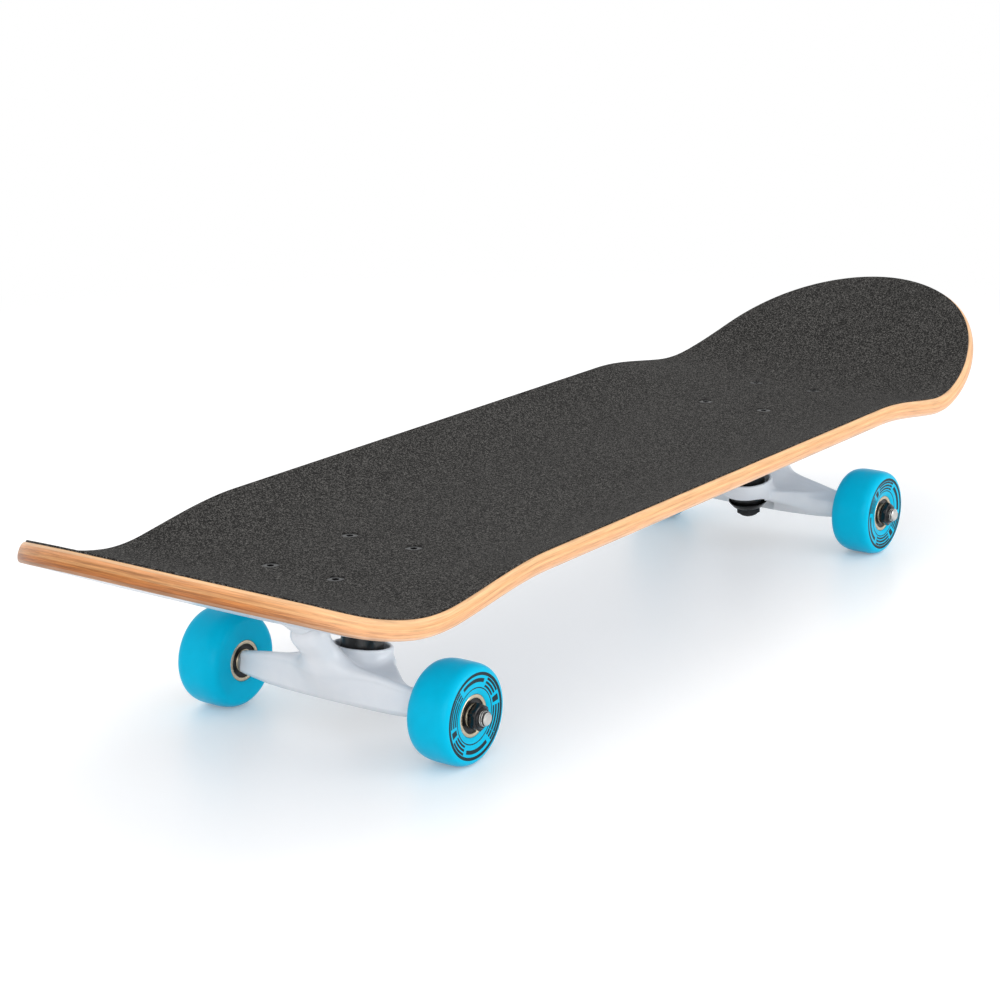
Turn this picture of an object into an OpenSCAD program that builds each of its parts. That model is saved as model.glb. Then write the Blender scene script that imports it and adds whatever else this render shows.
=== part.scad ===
// Street skateboard: a seven-ply deck with griptape, on two trucks and four wheels.
// X runs along the board towards the front, Y to the left, Z up.
// The origin is on the ground, below the middle of the deck. Millimetres.

/* [Deck] */
// Overall width of the deck
deck_width = 206; // [196:1:216]
// Distance from the middle of the deck to the start of each kick
kick_start = 250; // [246:1:265]
// Radius of the bend that turns the deck up into a kick
kick_radius = 177; // [130:1:220]
// Angle of each kick above the flat
kick_angle = 24.2; // [15:0.1:28]
// Length of the straight part of each kick, past its bend
kick_straight = 80; // [60:1:100]
// Height of the rails above the flat strip in the middle of the deck
concave_rise = 12.9; // [0:0.1:15]
// Half of the width of the flat strip along the middle of the deck
flat_half = 30; // [28:1:34]
// Share of the concave that is left in the kicks
kick_concave = 0.16; // [0:0.01:0.4]
// Distance from the middle at which the outline starts to narrow and the concave to fade
taper_start = 178; // [150:1:200]
// Distance from the middle at which the concave has faded to its share in the kicks
fade_end = 283; // [260:1:310]
// Fullness of the nose outline along the board, where 2 is an ellipse
nose_fullness = 3.66; // [2.5:0.01:4.5]
// Fullness of the nose outline across the board, where 2 is an ellipse
nose_breadth = 1.97; // [1.7:0.01:2.4]
// Thickness of one maple ply
ply_thickness = 1.42; // [1.3:0.01:1.6]
// Thickness of the griptape
grip_thickness = 1; // [0.8:0.1:1.2]
// How far the rounded edge of the deck draws in at its top and bottom faces
edge_inset = 1.5; // [0.5:0.1:2.5]
// How deep into the thickness the rounded edge reaches from either face
edge_depth = 4; // [2:0.1:4.5]
// How far the griptape's edge is filed in, from the wood to its top
grip_margin = 0.2; // [0.1:0.1:2]

/* [Truck mounting] */
// Distance between the middles of the two groups of truck bolts
truck_spacing = 423; // [415:1:427]
// Spacing of the truck bolts across the board
bolt_across = 41.3; // [40:0.1:43]
// Spacing of the truck bolts along the board
bolt_along = 63.5; // [58:0.1:64]
// Diameter of a truck bolt
bolt_d = 4.8; // [4:0.1:5]
// Diameter of the countersunk head of a truck bolt
bolt_head_d = 9.2; // [8:0.1:10]
// Height of the countersunk head of a truck bolt
bolt_head_h = 2.6; // [2:0.1:3.2]
// Width across the flats of the hexagon socket in a truck bolt
bolt_socket = 3.2; // [2.5:0.1:3.6]
// Width across the flats of a lock nut
lock_nut_af = 9.5; // [8.5:0.1:10.5]
// Height of a lock nut
lock_nut_h = 6.5; // [4:0.1:7]
// How far a truck bolt stands out of its lock nut
bolt_tail = 1.6; // [0.5:0.1:3]

/* [Baseplate] */
// Length of the baseplate along the board
plate_length = 92; // [88:1:96]
// Width of the baseplate
plate_width = 56; // [54:1:62]
// Thickness of the baseplate's flat plate
plate_thickness = 9.5; // [7:0.1:10]
// Radius of the corners of the baseplate
plate_corner = 8; // [4:0.5:12]
// Radius of the tower that holds the kingpin, at its lower end
tower_r = 13.5; // [12:0.1:14]
// Radius of the tower that holds the kingpin, where it meets the plate
tower_top_r = 16; // [14:0.1:17]
// Radius of the boss that holds the pivot cup
boss_r = 9.6; // [9:0.1:11]

/* [Truck geometry] */
// Height of the deck's underside above the axle
truck_height = 54.5; // [54:0.1:57]
// Distance of the axle from the middle of its truck bolts, towards the end of the board
axle_offset = 7; // [5:0.1:9]
// Distance of the kingpin from the axle, towards the middle of the board
kingpin_offset = 20.3; // [19:0.1:22]
// Height above the axle of the point on the kingpin that the hanger turns about
ring_height = 7; // [6:0.1:8]
// Lean of the kingpin, its nut towards the end of the board
kingpin_lean = 8; // [4:0.5:10]
// Angle of the steering axis above the horizontal
steer_angle = 38; // [36:0.5:39]
// Distance along the steering axis from the kingpin to the middle of the pivot's round end
pivot_reach = 60; // [58:0.5:60.5]
// Radius of the pivot at the end of the hanger
pivot_r = 5; // [4:0.1:5.2]
// Wall of the pivot cup
cup_wall = 1.5; // [1.2:0.1:1.8]

/* [Kingpin and bushings] */
// Diameter of the kingpin
kingpin_d = 9.5; // [8.5:0.1:10]
// Width across the flats of the kingpin's head
kingpin_head_af = 14.3; // [13.5:0.1:15]
// Height of the kingpin's head
kingpin_head_h = 5.5; // [4:0.1:6]
// Width across the flats of the kingpin nut
kingpin_nut_af = 14.3; // [13.5:0.1:15]
// Height of the kingpin nut
kingpin_nut_h = 5.5; // [5:0.1:7]
// How far the kingpin stands out of its nut
kingpin_tail = 1; // [0.5:0.1:3]
// Diameter of the bushings
bushing_d = 22.6; // [21:0.1:24]
// Height of the boardside bushing
boardside_h = 16; // [15:0.1:16.5]
// Height of the roadside bushing
roadside_h = 7.3; // [6.5:0.1:8]
// Diameter of the roadside bushing at its narrow end
roadside_end_d = 18.4; // [17:0.1:20]
// Diameter of the cup washers
washer_d = 24.4; // [24:0.1:25]
// Thickness of the sheet that the cup washers are pressed from
washer_sheet = 1.2; // [1:0.1:1.4]
// Depth of the dish of a cup washer
washer_dish = 2.5; // [1.5:0.1:3]

/* [Hanger] */
// Width of the hanger between the two wheels
hanger_width = 120.8; // [116:0.1:126]
// Radius of the hanger's arms at the middle
arm_root_r = 9.4; // [8.5:0.1:10]
// Radius of the hanger's arms at the wheels
arm_end_r = 6.4; // [6:0.1:7]
// Outer radius of the bushing seat
seat_r = 16.2; // [16:0.1:17]
// Wall of the bushing seat
seat_wall = 2; // [1.5:0.1:2]
// Thickness of the floor between the two bushings
seat_floor = 4; // [3:0.1:4.5]
// Height of the seat's upper lip above the steering point
seat_top = 8; // [6:0.1:8.5]
// Radius of the flat underside of the bushing seat
seat_foot_r = 12.8; // [12:0.1:14.5]
// Radius of the neck between the arms and the pivot
neck_r = 8; // [7:0.1:8.6]
// Height of the fin's ridge above the axle, where it meets the neck
fin_top = 18.5; // [16:0.1:22]
// Radius of the fin's ridge
fin_r = 4; // [3:0.1:6]
// Radius of the kingpin's hole in the seat floor
ring_bore_r = 5.8; // [5.8:0.1:6.4]

/* [Axle and wheels] */
// Diameter of the axle
axle_d = 7.94; // [7.5:0.01:7.94]
// How far the axle stands out of each axle nut
axle_tail = 1.5; // [0.5:0.1:4]
// Width across the flats of an axle nut
axle_nut_af = 12.7; // [11:0.1:13.5]
// Height of an axle nut
axle_nut_h = 6.5; // [5:0.1:8]
// Outer diameter of a speed washer
speed_washer_d = 11.4; // [10:0.1:11.8]
// Thickness of a speed washer
speed_washer_t = 0.8; // [0.5:0.1:1.2]
// Diameter of the wheels
wheel_d = 52; // [50:1:54]
// Distance of a wheel's outer face from the middle of its hub
wheel_out = 13.2; // [13:0.1:15]
// Distance of a wheel's inner face from the middle of its hub
wheel_in = 12.5; // [12.4:0.1:14]
// Distance of the tread's outer edge from the middle of the hub
tread_out = 5.5; // [3:0.5:8]
// Distance of the tread's inner edge from the middle of the hub
tread_in = 0.5; // [0.5:0.5:6]
// Radius of the printed outer face of the wheels, inside the rounded shoulder
face_r = 21.6; // [20:0.1:23]
// Radius of the inner face of the wheels
back_r = 19.6; // [17:0.1:22]
// How far the outer face of a wheel dishes in towards the bearing
face_dish = 0.8; // [0:0.1:0.9]

/* [Bearings] */
// Outer diameter of a bearing
bearing_d = 22; // [21:0.1:22]
// Bore of a bearing
bearing_bore = 8; // [8:0.01:8.06]
// Width of a bearing
bearing_w = 7; // [6.6:0.1:7]
// Length of the spacer between the two bearings of a wheel
spacer_l = 10; // [9:0.1:11]
// Outer diameter of the spacer
spacer_d = 10.2; // [9.5:0.1:11]
// Diameter of a bearing ball
ball_d = 3.9; // [3.5:0.01:3.96]
// Number of balls in a bearing
ball_count = 7; // [6:1:7]
// Outer radius of the inner race
inner_race_r = 6.2; // [6:0.05:6.3]
// Inner radius of the outer race
outer_race_r = 9.3; // [9.2:0.05:9.5]
// Thickness of a bearing shield
shield_t = 0.4; // [0.3:0.05:0.5]

/* [Hidden] */

// Clearances
fit = 0.02;          // pieces pressed or screwed together
running = 0.07;      // radial clearance where a piece turns on another
bolt_clear = 0.2;    // around a bolt in its hole
eps = 0.01;          // lets cutters pass through a face
big = 200;           // longer than any cut
round_fn = 64;       // smoothness of round pieces
hull_fn = 32;        // smoothness of the rounded forms of the casting

// Heights
axle_z = wheel_d / 2;
deck_bottom_z = axle_z + truck_height;
ply_count = 7;
wood_thickness = ply_count * ply_thickness;
wood_top_z = deck_bottom_z + wood_thickness;
deck_top_z = wood_top_z + grip_thickness;

// Deck surface
kick_arc = kick_radius * kick_angle * PI / 180;
deck_half = kick_start + kick_arc + kick_straight;
rim_end_angle = 88;  // last station of the outline, just short of the tip
rim_steps = 14;      // stations from the straight rail to the tip
columns = [-1, -0.86, -0.7, -0.5, -0.29, 0.29, 0.5, 0.7, 0.86, 1];

// Along the kingpin and the steering axis, measured from the steering point
axle_x = truck_spacing / 2 + axle_offset;
seat_up = seat_floor / 2;
boardside_top = seat_up + boardside_h;
tower_start = boardside_top + washer_sheet;
roadside_end = seat_up + roadside_h;
nut_start = roadside_end + washer_sheet;
kingpin_end = nut_start + kingpin_nut_h + kingpin_tail;
kingpin_head_r = kingpin_head_af / sqrt(3);
plate_top = truck_height - ring_height;
head_top = (plate_top - kingpin_head_r * sin(kingpin_lean)) / cos(kingpin_lean) - 1;
head_start = head_top - kingpin_head_h;
cup_r = pivot_r + cup_wall;
cup_start = pivot_reach - pivot_r + 1;
cup_end = pivot_reach + pivot_r + cup_wall;
cup_lip = 1;
cup_lip_r = boss_r - 2;
seat_in = seat_r - seat_wall;

// Along the axle, measured from the middle of the board
hanger_half = hanger_width / 2;
hub_width = 2 * bearing_w + spacer_l;
wheel_y = hanger_half + speed_washer_t + hub_width / 2;
nut_y = wheel_y + hub_width / 2 + speed_washer_t;
axle_half = nut_y + axle_nut_h + axle_tail;
axle_r = axle_d / 2;
bore_r = bearing_bore / 2;
ball_r = ball_d / 2;
pitch_r = (inner_race_r + outer_race_r) / 2;
groove_r = ball_r + running;
bearing_y = (spacer_l + bearing_w) / 2;
hub_r = outer_race_r - 0.6;

// ---------------------------------------------------------------- placing

// Places children in a truck's own frame: the middle of the axle, +X to the board's end
module at_truck(end) {
    rotate([0, 0, end == "front" ? 0 : 180])
        translate([axle_x, 0, axle_z])
            children();
}

// Turns +Z along the kingpin, away from the ground, from the steering point
module along_kingpin() {
    translate([-kingpin_offset, 0, ring_height])
        rotate([0, -kingpin_lean, 0])
            children();
}

// Turns +Z along the steering axis, towards the pivot, from the steering point
module along_steering() {
    translate([-kingpin_offset, 0, ring_height])
        rotate([0, 90 - steer_angle, 0])
            children();
}

// Turns +Z along the axle, towards the board's left side
module along_axle() {
    rotate([-90, 0, 0])
        children();
}

// Places children at a wheel's middle, +Z along the axle and away from the board
module at_wheel(end, hand) {
    side = hand == "left" ? 1 : -1;
    translate([end == "front" ? axle_x : -axle_x, side * wheel_y, axle_z])
        rotate([-90 * side, 0, 0])
            children();
}

// Repeats children at the four truck bolts of one truck
module at_bolts(end) {
    middle = end == "front" ? truck_spacing / 2 : -truck_spacing / 2;
    for (x = [-1, 1], y = [-1, 1])
        translate([middle + x * bolt_along / 2, y * bolt_across / 2, 0])
            children();
}

// A ring or tube along Z
module tube(outer_r, inner_r, height) {
    difference() {
        cylinder(r = outer_r, h = height, $fn = round_fn);
        translate([0, 0, -eps])
            cylinder(r = inner_r, h = height + 2 * eps, $fn = round_fn);
    }
}

// A hexagon prism along Z with a width across its flats
module hexagon(across_flats, height) {
    cylinder(r = across_flats / sqrt(3), h = height, $fn = 6);
}

// A lock nut along Z: a hexagon, then a round collar over its nylon ring
module lock_nut(across_flats, height, hole_r) {
    collar = height / 4;
    difference() {
        union() {
            hexagon(across_flats, height - collar);
            translate([0, 0, height - collar - eps])
                cylinder(r1 = across_flats / 2, r2 = across_flats / 2 - 0.6,
                         h = collar + eps, $fn = round_fn);
        }
        translate([0, 0, -eps])
            cylinder(r = hole_r, h = height + 2 * eps, $fn = round_fn);
    }
}

// ---------------------------------------------------------------- deck

function share(v) = max(0, min(1, v));
function ease(v) = let (k = share(v)) k * k * (3 - 2 * k);

// Angle of the deck at a distance along its surface from the middle
function bend(s) = kick_angle * share((s - kick_start) / kick_arc);
function past_bend(s) = max(0, s - kick_start - kick_arc);
function run_x(s) = min(s, kick_start) + kick_radius * sin(bend(s))
    + past_bend(s) * cos(kick_angle);
function run_z(s) = kick_radius * (1 - cos(bend(s))) + past_bend(s) * sin(kick_angle);

// Rise of the concave at a distance along and across the deck
function fade(s) = 1 - (1 - kick_concave) * ease((s - taper_start) / (fade_end - taper_start));
function off_flat(t) = max(0, abs(t) - flat_half) / (deck_width / 2 - flat_half);
function concave(s, t) = concave_rise * fade(s) * pow(off_flat(t), 2);

// A point at a depth below the top of the wood
function deck_point(side, s, t, depth) =
    let (a = bend(s), lift = concave(s, t) - depth)
    [side * (run_x(s) - sin(a) * lift), t, wood_top_z + run_z(s) + cos(a) * lift];

// The outline, as a station along the board and a half-width, at an angle round the nose
function rim_s(a, inset) = taper_start
    + (deck_half - inset - taper_start) * pow(sin(a), 2 / nose_fullness);
function rim_t(a, inset) = (deck_width / 2 - inset) * pow(cos(a), 2 / nose_breadth);
function rim_angle(i) = rim_end_angle * pow(i / rim_steps, 1.5);
stations = concat(
    [for (i = [rim_steps:-1:0]) [-1, rim_angle(i)]],
    [for (i = [0:rim_steps]) [1, rim_angle(i)]]
);

// How far the rounded edge draws in at a depth below the top of the wood
function from_face(depth) = max(0, min(depth, wood_thickness - depth));
function edge_draw(depth) =
    let (k = max(0, edge_depth - from_face(depth)) / edge_depth)
    edge_inset * (1 - sqrt(1 - k * k));

function sheet(depth, inset) = [
    for (st = stations)
        for (c = columns)
            deck_point(st[0], rim_s(st[1], inset), c * rim_t(st[1], inset), depth)
];

// Two triangles on a four-sided patch whose corners run clockwise, seen from outside
function patch(a, b, c, d) = [[a, b, c], [a, c, d]];

// A closed slice of the deck between an upper and a lower sheet
module deck_slice(upper_depth, upper_inset, lower_depth, lower_inset) {
    rows = len(stations);
    cols = len(columns);
    n = rows * cols;
    points = concat(sheet(upper_depth, upper_inset), sheet(lower_depth, lower_inset));
    faces = [
        for (i = [0:rows - 2]) for (j = [0:cols - 2])
            let (p = i * cols + j)
            for (f = concat(patch(p, p + 1, p + cols + 1, p + cols),
                            patch(n + p, n + p + cols, n + p + cols + 1, n + p + 1))) f,
        for (i = [0:rows - 2])
            let (p = i * cols, q = p + cols - 1)
            for (f = concat(patch(n + p, p, p + cols, n + p + cols),
                            patch(q, n + q, n + q + cols, q + cols))) f,
        for (j = [0:cols - 2])
            let (p = j, q = (rows - 1) * cols + j)
            for (f = concat(patch(p + 1, p, n + p, n + p + 1),
                            patch(q, q + 1, n + q + 1, n + q))) f
    ];
    polyhedron(points = points, faces = faces, convexity = 6);
}

// The hole and countersink that a truck bolt needs through the deck
module bolt_cutter() {
    translate([0, 0, deck_bottom_z - 1])
        cylinder(d = bolt_d + 2 * bolt_clear, h = wood_thickness + grip_thickness + 2,
                 $fn = round_fn);
    translate([0, 0, deck_top_z - bolt_head_h])
        cylinder(d1 = bolt_d + 2 * bolt_clear, d2 = bolt_head_d + 2 * bolt_clear,
                 h = bolt_head_h, $fn = round_fn);
    translate([0, 0, deck_top_z - eps])
        cylinder(d = bolt_head_d + 2 * bolt_clear, h = 1, $fn = round_fn);
}

module bolt_holes() {
    at_bolts("front") bolt_cutter();
    at_bolts("rear") bolt_cutter();
}

// Ply 1 is the bottom veneer, ply 7 the top one
module ply(number) {
    upper = (ply_count - number) * ply_thickness;
    lower = upper + ply_thickness;
    color(number == 1 ? "lightsteelblue" : number % 2 == 0 ? "burlywood" : "wheat")
        difference() {
            deck_slice(upper, edge_draw(upper), lower, edge_draw(lower));
            bolt_holes();
        }
}

module griptape() {
    color("dimgray")
        difference() {
            deck_slice(-grip_thickness, edge_inset + grip_margin, 0, edge_inset);
            bolt_holes();
        }
}

// ---------------------------------------------------------------- truck bolts

module deck_bolts(end) {
    bottom = deck_bottom_z - plate_thickness - lock_nut_h - bolt_tail;
    color("black")
        at_bolts(end)
            difference() {
                union() {
                    translate([0, 0, bottom])
                        cylinder(d = bolt_d, h = deck_top_z - bottom, $fn = round_fn);
                    translate([0, 0, deck_top_z - bolt_head_h])
                        cylinder(d1 = bolt_d, d2 = bolt_head_d, h = bolt_head_h,
                                 $fn = round_fn);
                }
                translate([0, 0, deck_top_z - bolt_head_h + 0.4])
                    hexagon(bolt_socket, bolt_head_h);
            }
}

module lock_nuts(end) {
    color("black")
        at_bolts(end)
            translate([0, 0, deck_bottom_z - plate_thickness])
                rotate([180, 0, 0])
                    lock_nut(lock_nut_af, lock_nut_h, bolt_d / 2 + fit);
}

// ---------------------------------------------------------------- baseplate

// Outline of the plate, seen from above, in the truck's frame
module plate_outline() {
    translate([-axle_offset, 0])
        union() {
            square([plate_length - 2 * plate_corner, plate_width], center = true);
            square([plate_length, plate_width - 2 * plate_corner], center = true);
            for (x = [-1, 1], y = [-1, 1])
                translate([x * (plate_length / 2 - plate_corner),
                           y * (plate_width / 2 - plate_corner)])
                    circle(r = plate_corner, $fn = round_fn);
        }
}

module baseplate(end) {
    color("white")
        at_truck(end)
            difference() {
                intersection() {
                    union() {
                        translate([0, 0, truck_height - plate_thickness])
                            linear_extrude(plate_thickness)
                                plate_outline();
                        along_kingpin()
                            translate([0, 0, tower_start])
                                cylinder(r1 = tower_r, r2 = tower_top_r,
                                         h = head_top - tower_start, $fn = round_fn);
                        along_steering()
                            translate([0, 0, cup_start])
                                cylinder(r = boss_r, h = big / 4, $fn = round_fn);
                    }
                    linear_extrude(truck_height)
                        plate_outline();
                }
                along_kingpin() {
                    cylinder(r = kingpin_d / 2 + fit, h = big, $fn = round_fn);
                    translate([0, 0, head_start])
                        cylinder(r = kingpin_head_r + bolt_clear, h = big, $fn = round_fn);
                }
                along_steering() {
                    translate([0, 0, cup_start - eps])
                        cylinder(r = cup_r + fit, h = cup_end - cup_start + fit,
                                 $fn = round_fn);
                    // Room for the cup's lip below the plate
                    translate([0, 0, cup_start - cup_lip_r])
                        cylinder(r = cup_lip_r + bolt_clear, h = cup_lip_r,
                                 $fn = round_fn);
                }
                translate([-axle_offset, 0, 0])
                    for (x = [-1, 1], y = [-1, 1])
                        translate([x * bolt_along / 2, y * bolt_across / 2, 0])
                            cylinder(r = bolt_d / 2 + bolt_clear, h = big, $fn = round_fn);
            }
}

// Urethane cup that the hanger's pivot turns in, with a lip outside the boss
module pivot_cup(end) {
    hole_r = pivot_r + running;
    color("black")
        at_truck(end)
            along_steering()
                difference() {
                    union() {
                        translate([0, 0, cup_start])
                            cylinder(r = cup_r, h = cup_end - cup_start, $fn = round_fn);
                        translate([0, 0, cup_start - cup_lip])
                            cylinder(r = cup_lip_r, h = cup_lip, $fn = round_fn);
                    }
                    translate([0, 0, cup_start - cup_lip - eps])
                        cylinder(r = hole_r, h = pivot_reach - cup_start + cup_lip + eps,
                                 $fn = round_fn);
                    translate([0, 0, pivot_reach])
                        sphere(r = hole_r, $fn = round_fn);
                }
}

// ---------------------------------------------------------------- kingpin stack

module kingpin(end) {
    color("dimgray")
        at_truck(end)
            along_kingpin() {
                translate([0, 0, -kingpin_end])
                    cylinder(r = kingpin_d / 2, h = kingpin_end + head_start + eps,
                             $fn = round_fn);
                translate([0, 0, head_start])
                    hexagon(kingpin_head_af, kingpin_head_h);
            }
}

module kingpin_nut(end) {
    color("black")
        at_truck(end)
            along_kingpin()
                translate([0, 0, -nut_start])
                    rotate([180, 0, 0])
                        lock_nut(kingpin_nut_af, kingpin_nut_h, kingpin_d / 2 + fit);
}

// A pressed dish along Z: its floor at 0 to one sheet, its rim standing up past that
module cup_washer() {
    difference() {
        cylinder(r1 = washer_d / 2 - washer_dish, r2 = washer_d / 2,
                 h = washer_sheet + washer_dish, $fn = round_fn);
        translate([0, 0, washer_sheet])
            cylinder(r1 = washer_d / 2 - washer_dish - 0.3, r2 = washer_d / 2 - 0.8,
                     h = washer_dish + eps, $fn = round_fn);
        translate([0, 0, -eps])
            cylinder(r = kingpin_d / 2 + fit, h = big, $fn = round_fn);
    }
}

module boardside_washer(end) {
    color("dimgray")
        at_truck(end)
            along_kingpin()
                translate([0, 0, tower_start])
                    rotate([180, 0, 0])
                        cup_washer();
}

module roadside_washer(end) {
    color("dimgray")
        at_truck(end)
            along_kingpin()
                translate([0, 0, -nut_start])
                    cup_washer();
}

// The bushings stay clear of the dished rims of their washers
module boardside_bushing(end) {
    end_r = washer_d / 2 - washer_dish - 0.6;
    color("black")
        at_truck(end)
            along_kingpin()
                translate([0, 0, seat_up])
                    difference() {
                        union() {
                            cylinder(d = bushing_d, h = boardside_h - washer_dish,
                                     $fn = round_fn);
                            translate([0, 0, boardside_h - washer_dish - eps])
                                cylinder(r1 = bushing_d / 2 - 0.3, r2 = end_r,
                                         h = washer_dish + eps, $fn = round_fn);
                        }
                        translate([0, 0, -eps])
                            cylinder(r = kingpin_d / 2 + running, h = big, $fn = round_fn);
                    }
}

module roadside_bushing(end) {
    color("black")
        at_truck(end)
            along_kingpin()
                translate([0, 0, -roadside_end])
                    difference() {
                        cylinder(d1 = roadside_end_d, d2 = bushing_d, h = roadside_h,
                                 $fn = round_fn);
                        translate([0, 0, -eps])
                            cylinder(r = kingpin_d / 2 + running, h = big, $fn = round_fn);
                    }
}

// ---------------------------------------------------------------- hanger and axle

// Radius of the hanger's arms at a distance along the axle
function arm_r(y) = arm_end_r
    + (arm_root_r - arm_end_r) * (1 - pow(abs(y) / hanger_half, 3));

// The turned form of the two arms, along Z
module arms() {
    steps = 10;
    rotate_extrude($fn = round_fn)
        polygon(concat(
            [[0, -hanger_half]],
            [for (i = [-steps:steps])
                let (y = i / steps * hanger_half) [arm_r(y), y]],
            [[0, hanger_half]]
        ));
}

// A short length of arm along Z, for the webs to grow from
module arm_stub(half_length, radius) {
    cylinder(r = radius, h = 2 * half_length, center = true, $fn = hull_fn);
}

module hanger(end) {
    neck_reach = cup_start - cup_lip - neck_r - 2;
    neck_spread = 3;
    neck_sag = 6;
    fin_out = 7.5;
    bowl_h = 5;
    color("whitesmoke")
        at_truck(end)
            difference() {
                union() {
                    along_axle() arms();
                    // Bushing seat: a bowl, then a straight lip
                    along_kingpin() {
                        translate([0, 0, -seat_up])
                            cylinder(r1 = seat_foot_r, r2 = seat_r, h = bowl_h,
                                     $fn = round_fn);
                        translate([0, 0, bowl_h - seat_up - eps])
                            cylinder(r = seat_r, h = seat_top + seat_up - bowl_h + eps,
                                     $fn = round_fn);
                    }
                    // Low web from the seat to the arms
                    hull() {
                        along_kingpin()
                            translate([0, 0, -seat_up])
                                cylinder(r1 = seat_foot_r - 0.3, r2 = seat_r - 1.2,
                                         h = bowl_h - 2, $fn = hull_fn);
                        along_axle()
                            arm_stub(0.7 * hanger_half, arm_end_r + 0.6);
                    }
                    // Neck that rises from the arms to the pivot
                    hull() {
                        along_steering()
                            for (y = [-neck_spread, neck_spread])
                                translate([neck_sag, y, neck_reach])
                                    sphere(r = neck_r, $fn = hull_fn);
                        along_steering()
                            translate([0, 0, neck_reach])
                                cylinder(r = pivot_r + 1, h = neck_r - 1, $fn = hull_fn);
                        along_axle()
                            arm_stub(neck_spread + 3, arm_root_r - 1.5);
                    }
                    // Fin that spreads from the neck along the arms
                    hull() {
                        translate([fin_out, 0, fin_top - fin_r])
                            along_axle()
                                arm_stub(neck_r + 2, fin_r);
                        along_axle()
                            arm_stub(0.86 * hanger_half, arm_end_r + 1);
                    }
                    // Pivot
                    along_steering() {
                        translate([0, 0, neck_reach])
                            cylinder(r = pivot_r, h = pivot_reach - neck_reach,
                                     $fn = round_fn);
                        translate([0, 0, pivot_reach])
                            sphere(r = pivot_r, $fn = round_fn);
                    }
                }
                along_axle()
                    cylinder(r = axle_r + fit, h = hanger_width + 2, center = true,
                             $fn = round_fn);
                along_kingpin() {
                    translate([0, 0, seat_up])
                        cylinder(r = seat_in, h = boardside_h, $fn = round_fn);
                    translate([0, 0, -seat_up - big])
                        cylinder(r = seat_r, h = big, $fn = round_fn);
                    cylinder(r = ring_bore_r, h = big, center = true, $fn = round_fn);
                }
            }
}

module axle(end) {
    chamfer = 0.8;
    color("silver")
        at_truck(end)
            along_axle()
                rotate_extrude($fn = round_fn)
                    polygon([
                        [0, -axle_half],
                        [axle_r - chamfer, -axle_half],
                        [axle_r, -axle_half + chamfer],
                        [axle_r, axle_half - chamfer],
                        [axle_r - chamfer, axle_half],
                        [0, axle_half]
                    ]);
}

// Repeats children at both wheels of a truck
module at_both_wheels(end) {
    at_wheel(end, "left") children();
    at_wheel(end, "right") children();
}

module axle_nuts(end) {
    color("black")
        at_both_wheels(end)
            translate([0, 0, hub_width / 2 + speed_washer_t])
                lock_nut(axle_nut_af, axle_nut_h, axle_r + fit);
}

module speed_washers(end) {
    color("silver")
        at_both_wheels(end)
            for (z = [-hub_width / 2 - speed_washer_t, hub_width / 2])
                translate([0, 0, z])
                    tube(speed_washer_d / 2, bore_r, speed_washer_t);
}

module bearing_spacers(end) {
    color("silver")
        at_both_wheels(end)
            translate([0, 0, -spacer_l / 2])
                tube(spacer_d / 2, bore_r, spacer_l);
}

// ---------------------------------------------------------------- bearings

// Repeats children at the middle of each bearing of a wheel
module at_bearings() {
    for (z = [-bearing_y, bearing_y])
        translate([0, 0, z])
            children();
}

// The groove that the balls run in
module ball_groove() {
    rotate_extrude($fn = round_fn)
        translate([pitch_r, 0])
            circle(r = groove_r, $fn = round_fn);
}

module inner_races(end) {
    color("silver")
        at_both_wheels(end)
            at_bearings()
                difference() {
                    translate([0, 0, -bearing_w / 2])
                        tube(inner_race_r, bore_r, bearing_w);
                    ball_groove();
                }
}

module outer_races(end, hand) {
    color("silver")
        at_wheel(end, hand)
            at_bearings()
                difference() {
                    translate([0, 0, -bearing_w / 2])
                        tube(bearing_d / 2, outer_race_r, bearing_w);
                    ball_groove();
                }
}

module bearing_shields(end, hand) {
    sink = 0.2;
    color("black")
        at_wheel(end, hand)
            at_bearings()
                for (z = [-bearing_w / 2 + sink, bearing_w / 2 - sink - shield_t])
                    translate([0, 0, z])
                        tube(outer_race_r - fit, inner_race_r + 2 * running, shield_t);
}

// The balls of each bearing, and the cage that spaces them
module ball_cages(end, hand) {
    cage_half = ball_r + 0.6;
    cage_wall = 0.7;
    color("gainsboro")
        at_wheel(end, hand)
            at_bearings() {
                for (i = [0:ball_count - 1])
                    rotate([0, 0, i * 360 / ball_count])
                        translate([pitch_r, 0, 0])
                            sphere(r = ball_r, $fn = hull_fn);
                difference() {
                    translate([0, 0, -cage_half])
                        tube(pitch_r + cage_wall, pitch_r - cage_wall, 2 * cage_half);
                    for (i = [0:ball_count - 1])
                        rotate([0, 90, i * 360 / ball_count])
                            cylinder(r = ball_r + running, h = bearing_d, $fn = hull_fn);
                }
            }
}

// ---------------------------------------------------------------- wheels

// The wheel's outline on one side: round the shoulder, then in to the hub
function shoulder(face_z, tread_z, rim_r) = [
    for (i = [0:8])
        let (a = i * 90 / 8)
        [rim_r + (wheel_d / 2 - rim_r) * cos(a), tread_z + (face_z - tread_z) * sin(a)]
];
function hub_side(side, lip_z) = [
    [bearing_d / 2 + 1.2, lip_z],
    [bearing_d / 2 + fit, side * hub_width / 2],
    [bearing_d / 2 + fit, side * spacer_l / 2],
    [hub_r, side * spacer_l / 2]
];
function reversed(list) = [for (i = [len(list) - 1:-1:0]) list[i]];

module wheel(end, hand) {
    back_dish = 0.2;
    color("deepskyblue")
        at_wheel(end, hand)
            rotate_extrude($fn = round_fn)
                polygon(concat(
                    shoulder(wheel_out, tread_out, face_r),
                    hub_side(1, wheel_out - face_dish),
                    reversed(hub_side(-1, back_dish - wheel_in)),
                    reversed(shoulder(-wheel_in, -tread_in, back_r))
                ));
}

// ---------------------------------------------------------------- the board

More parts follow.
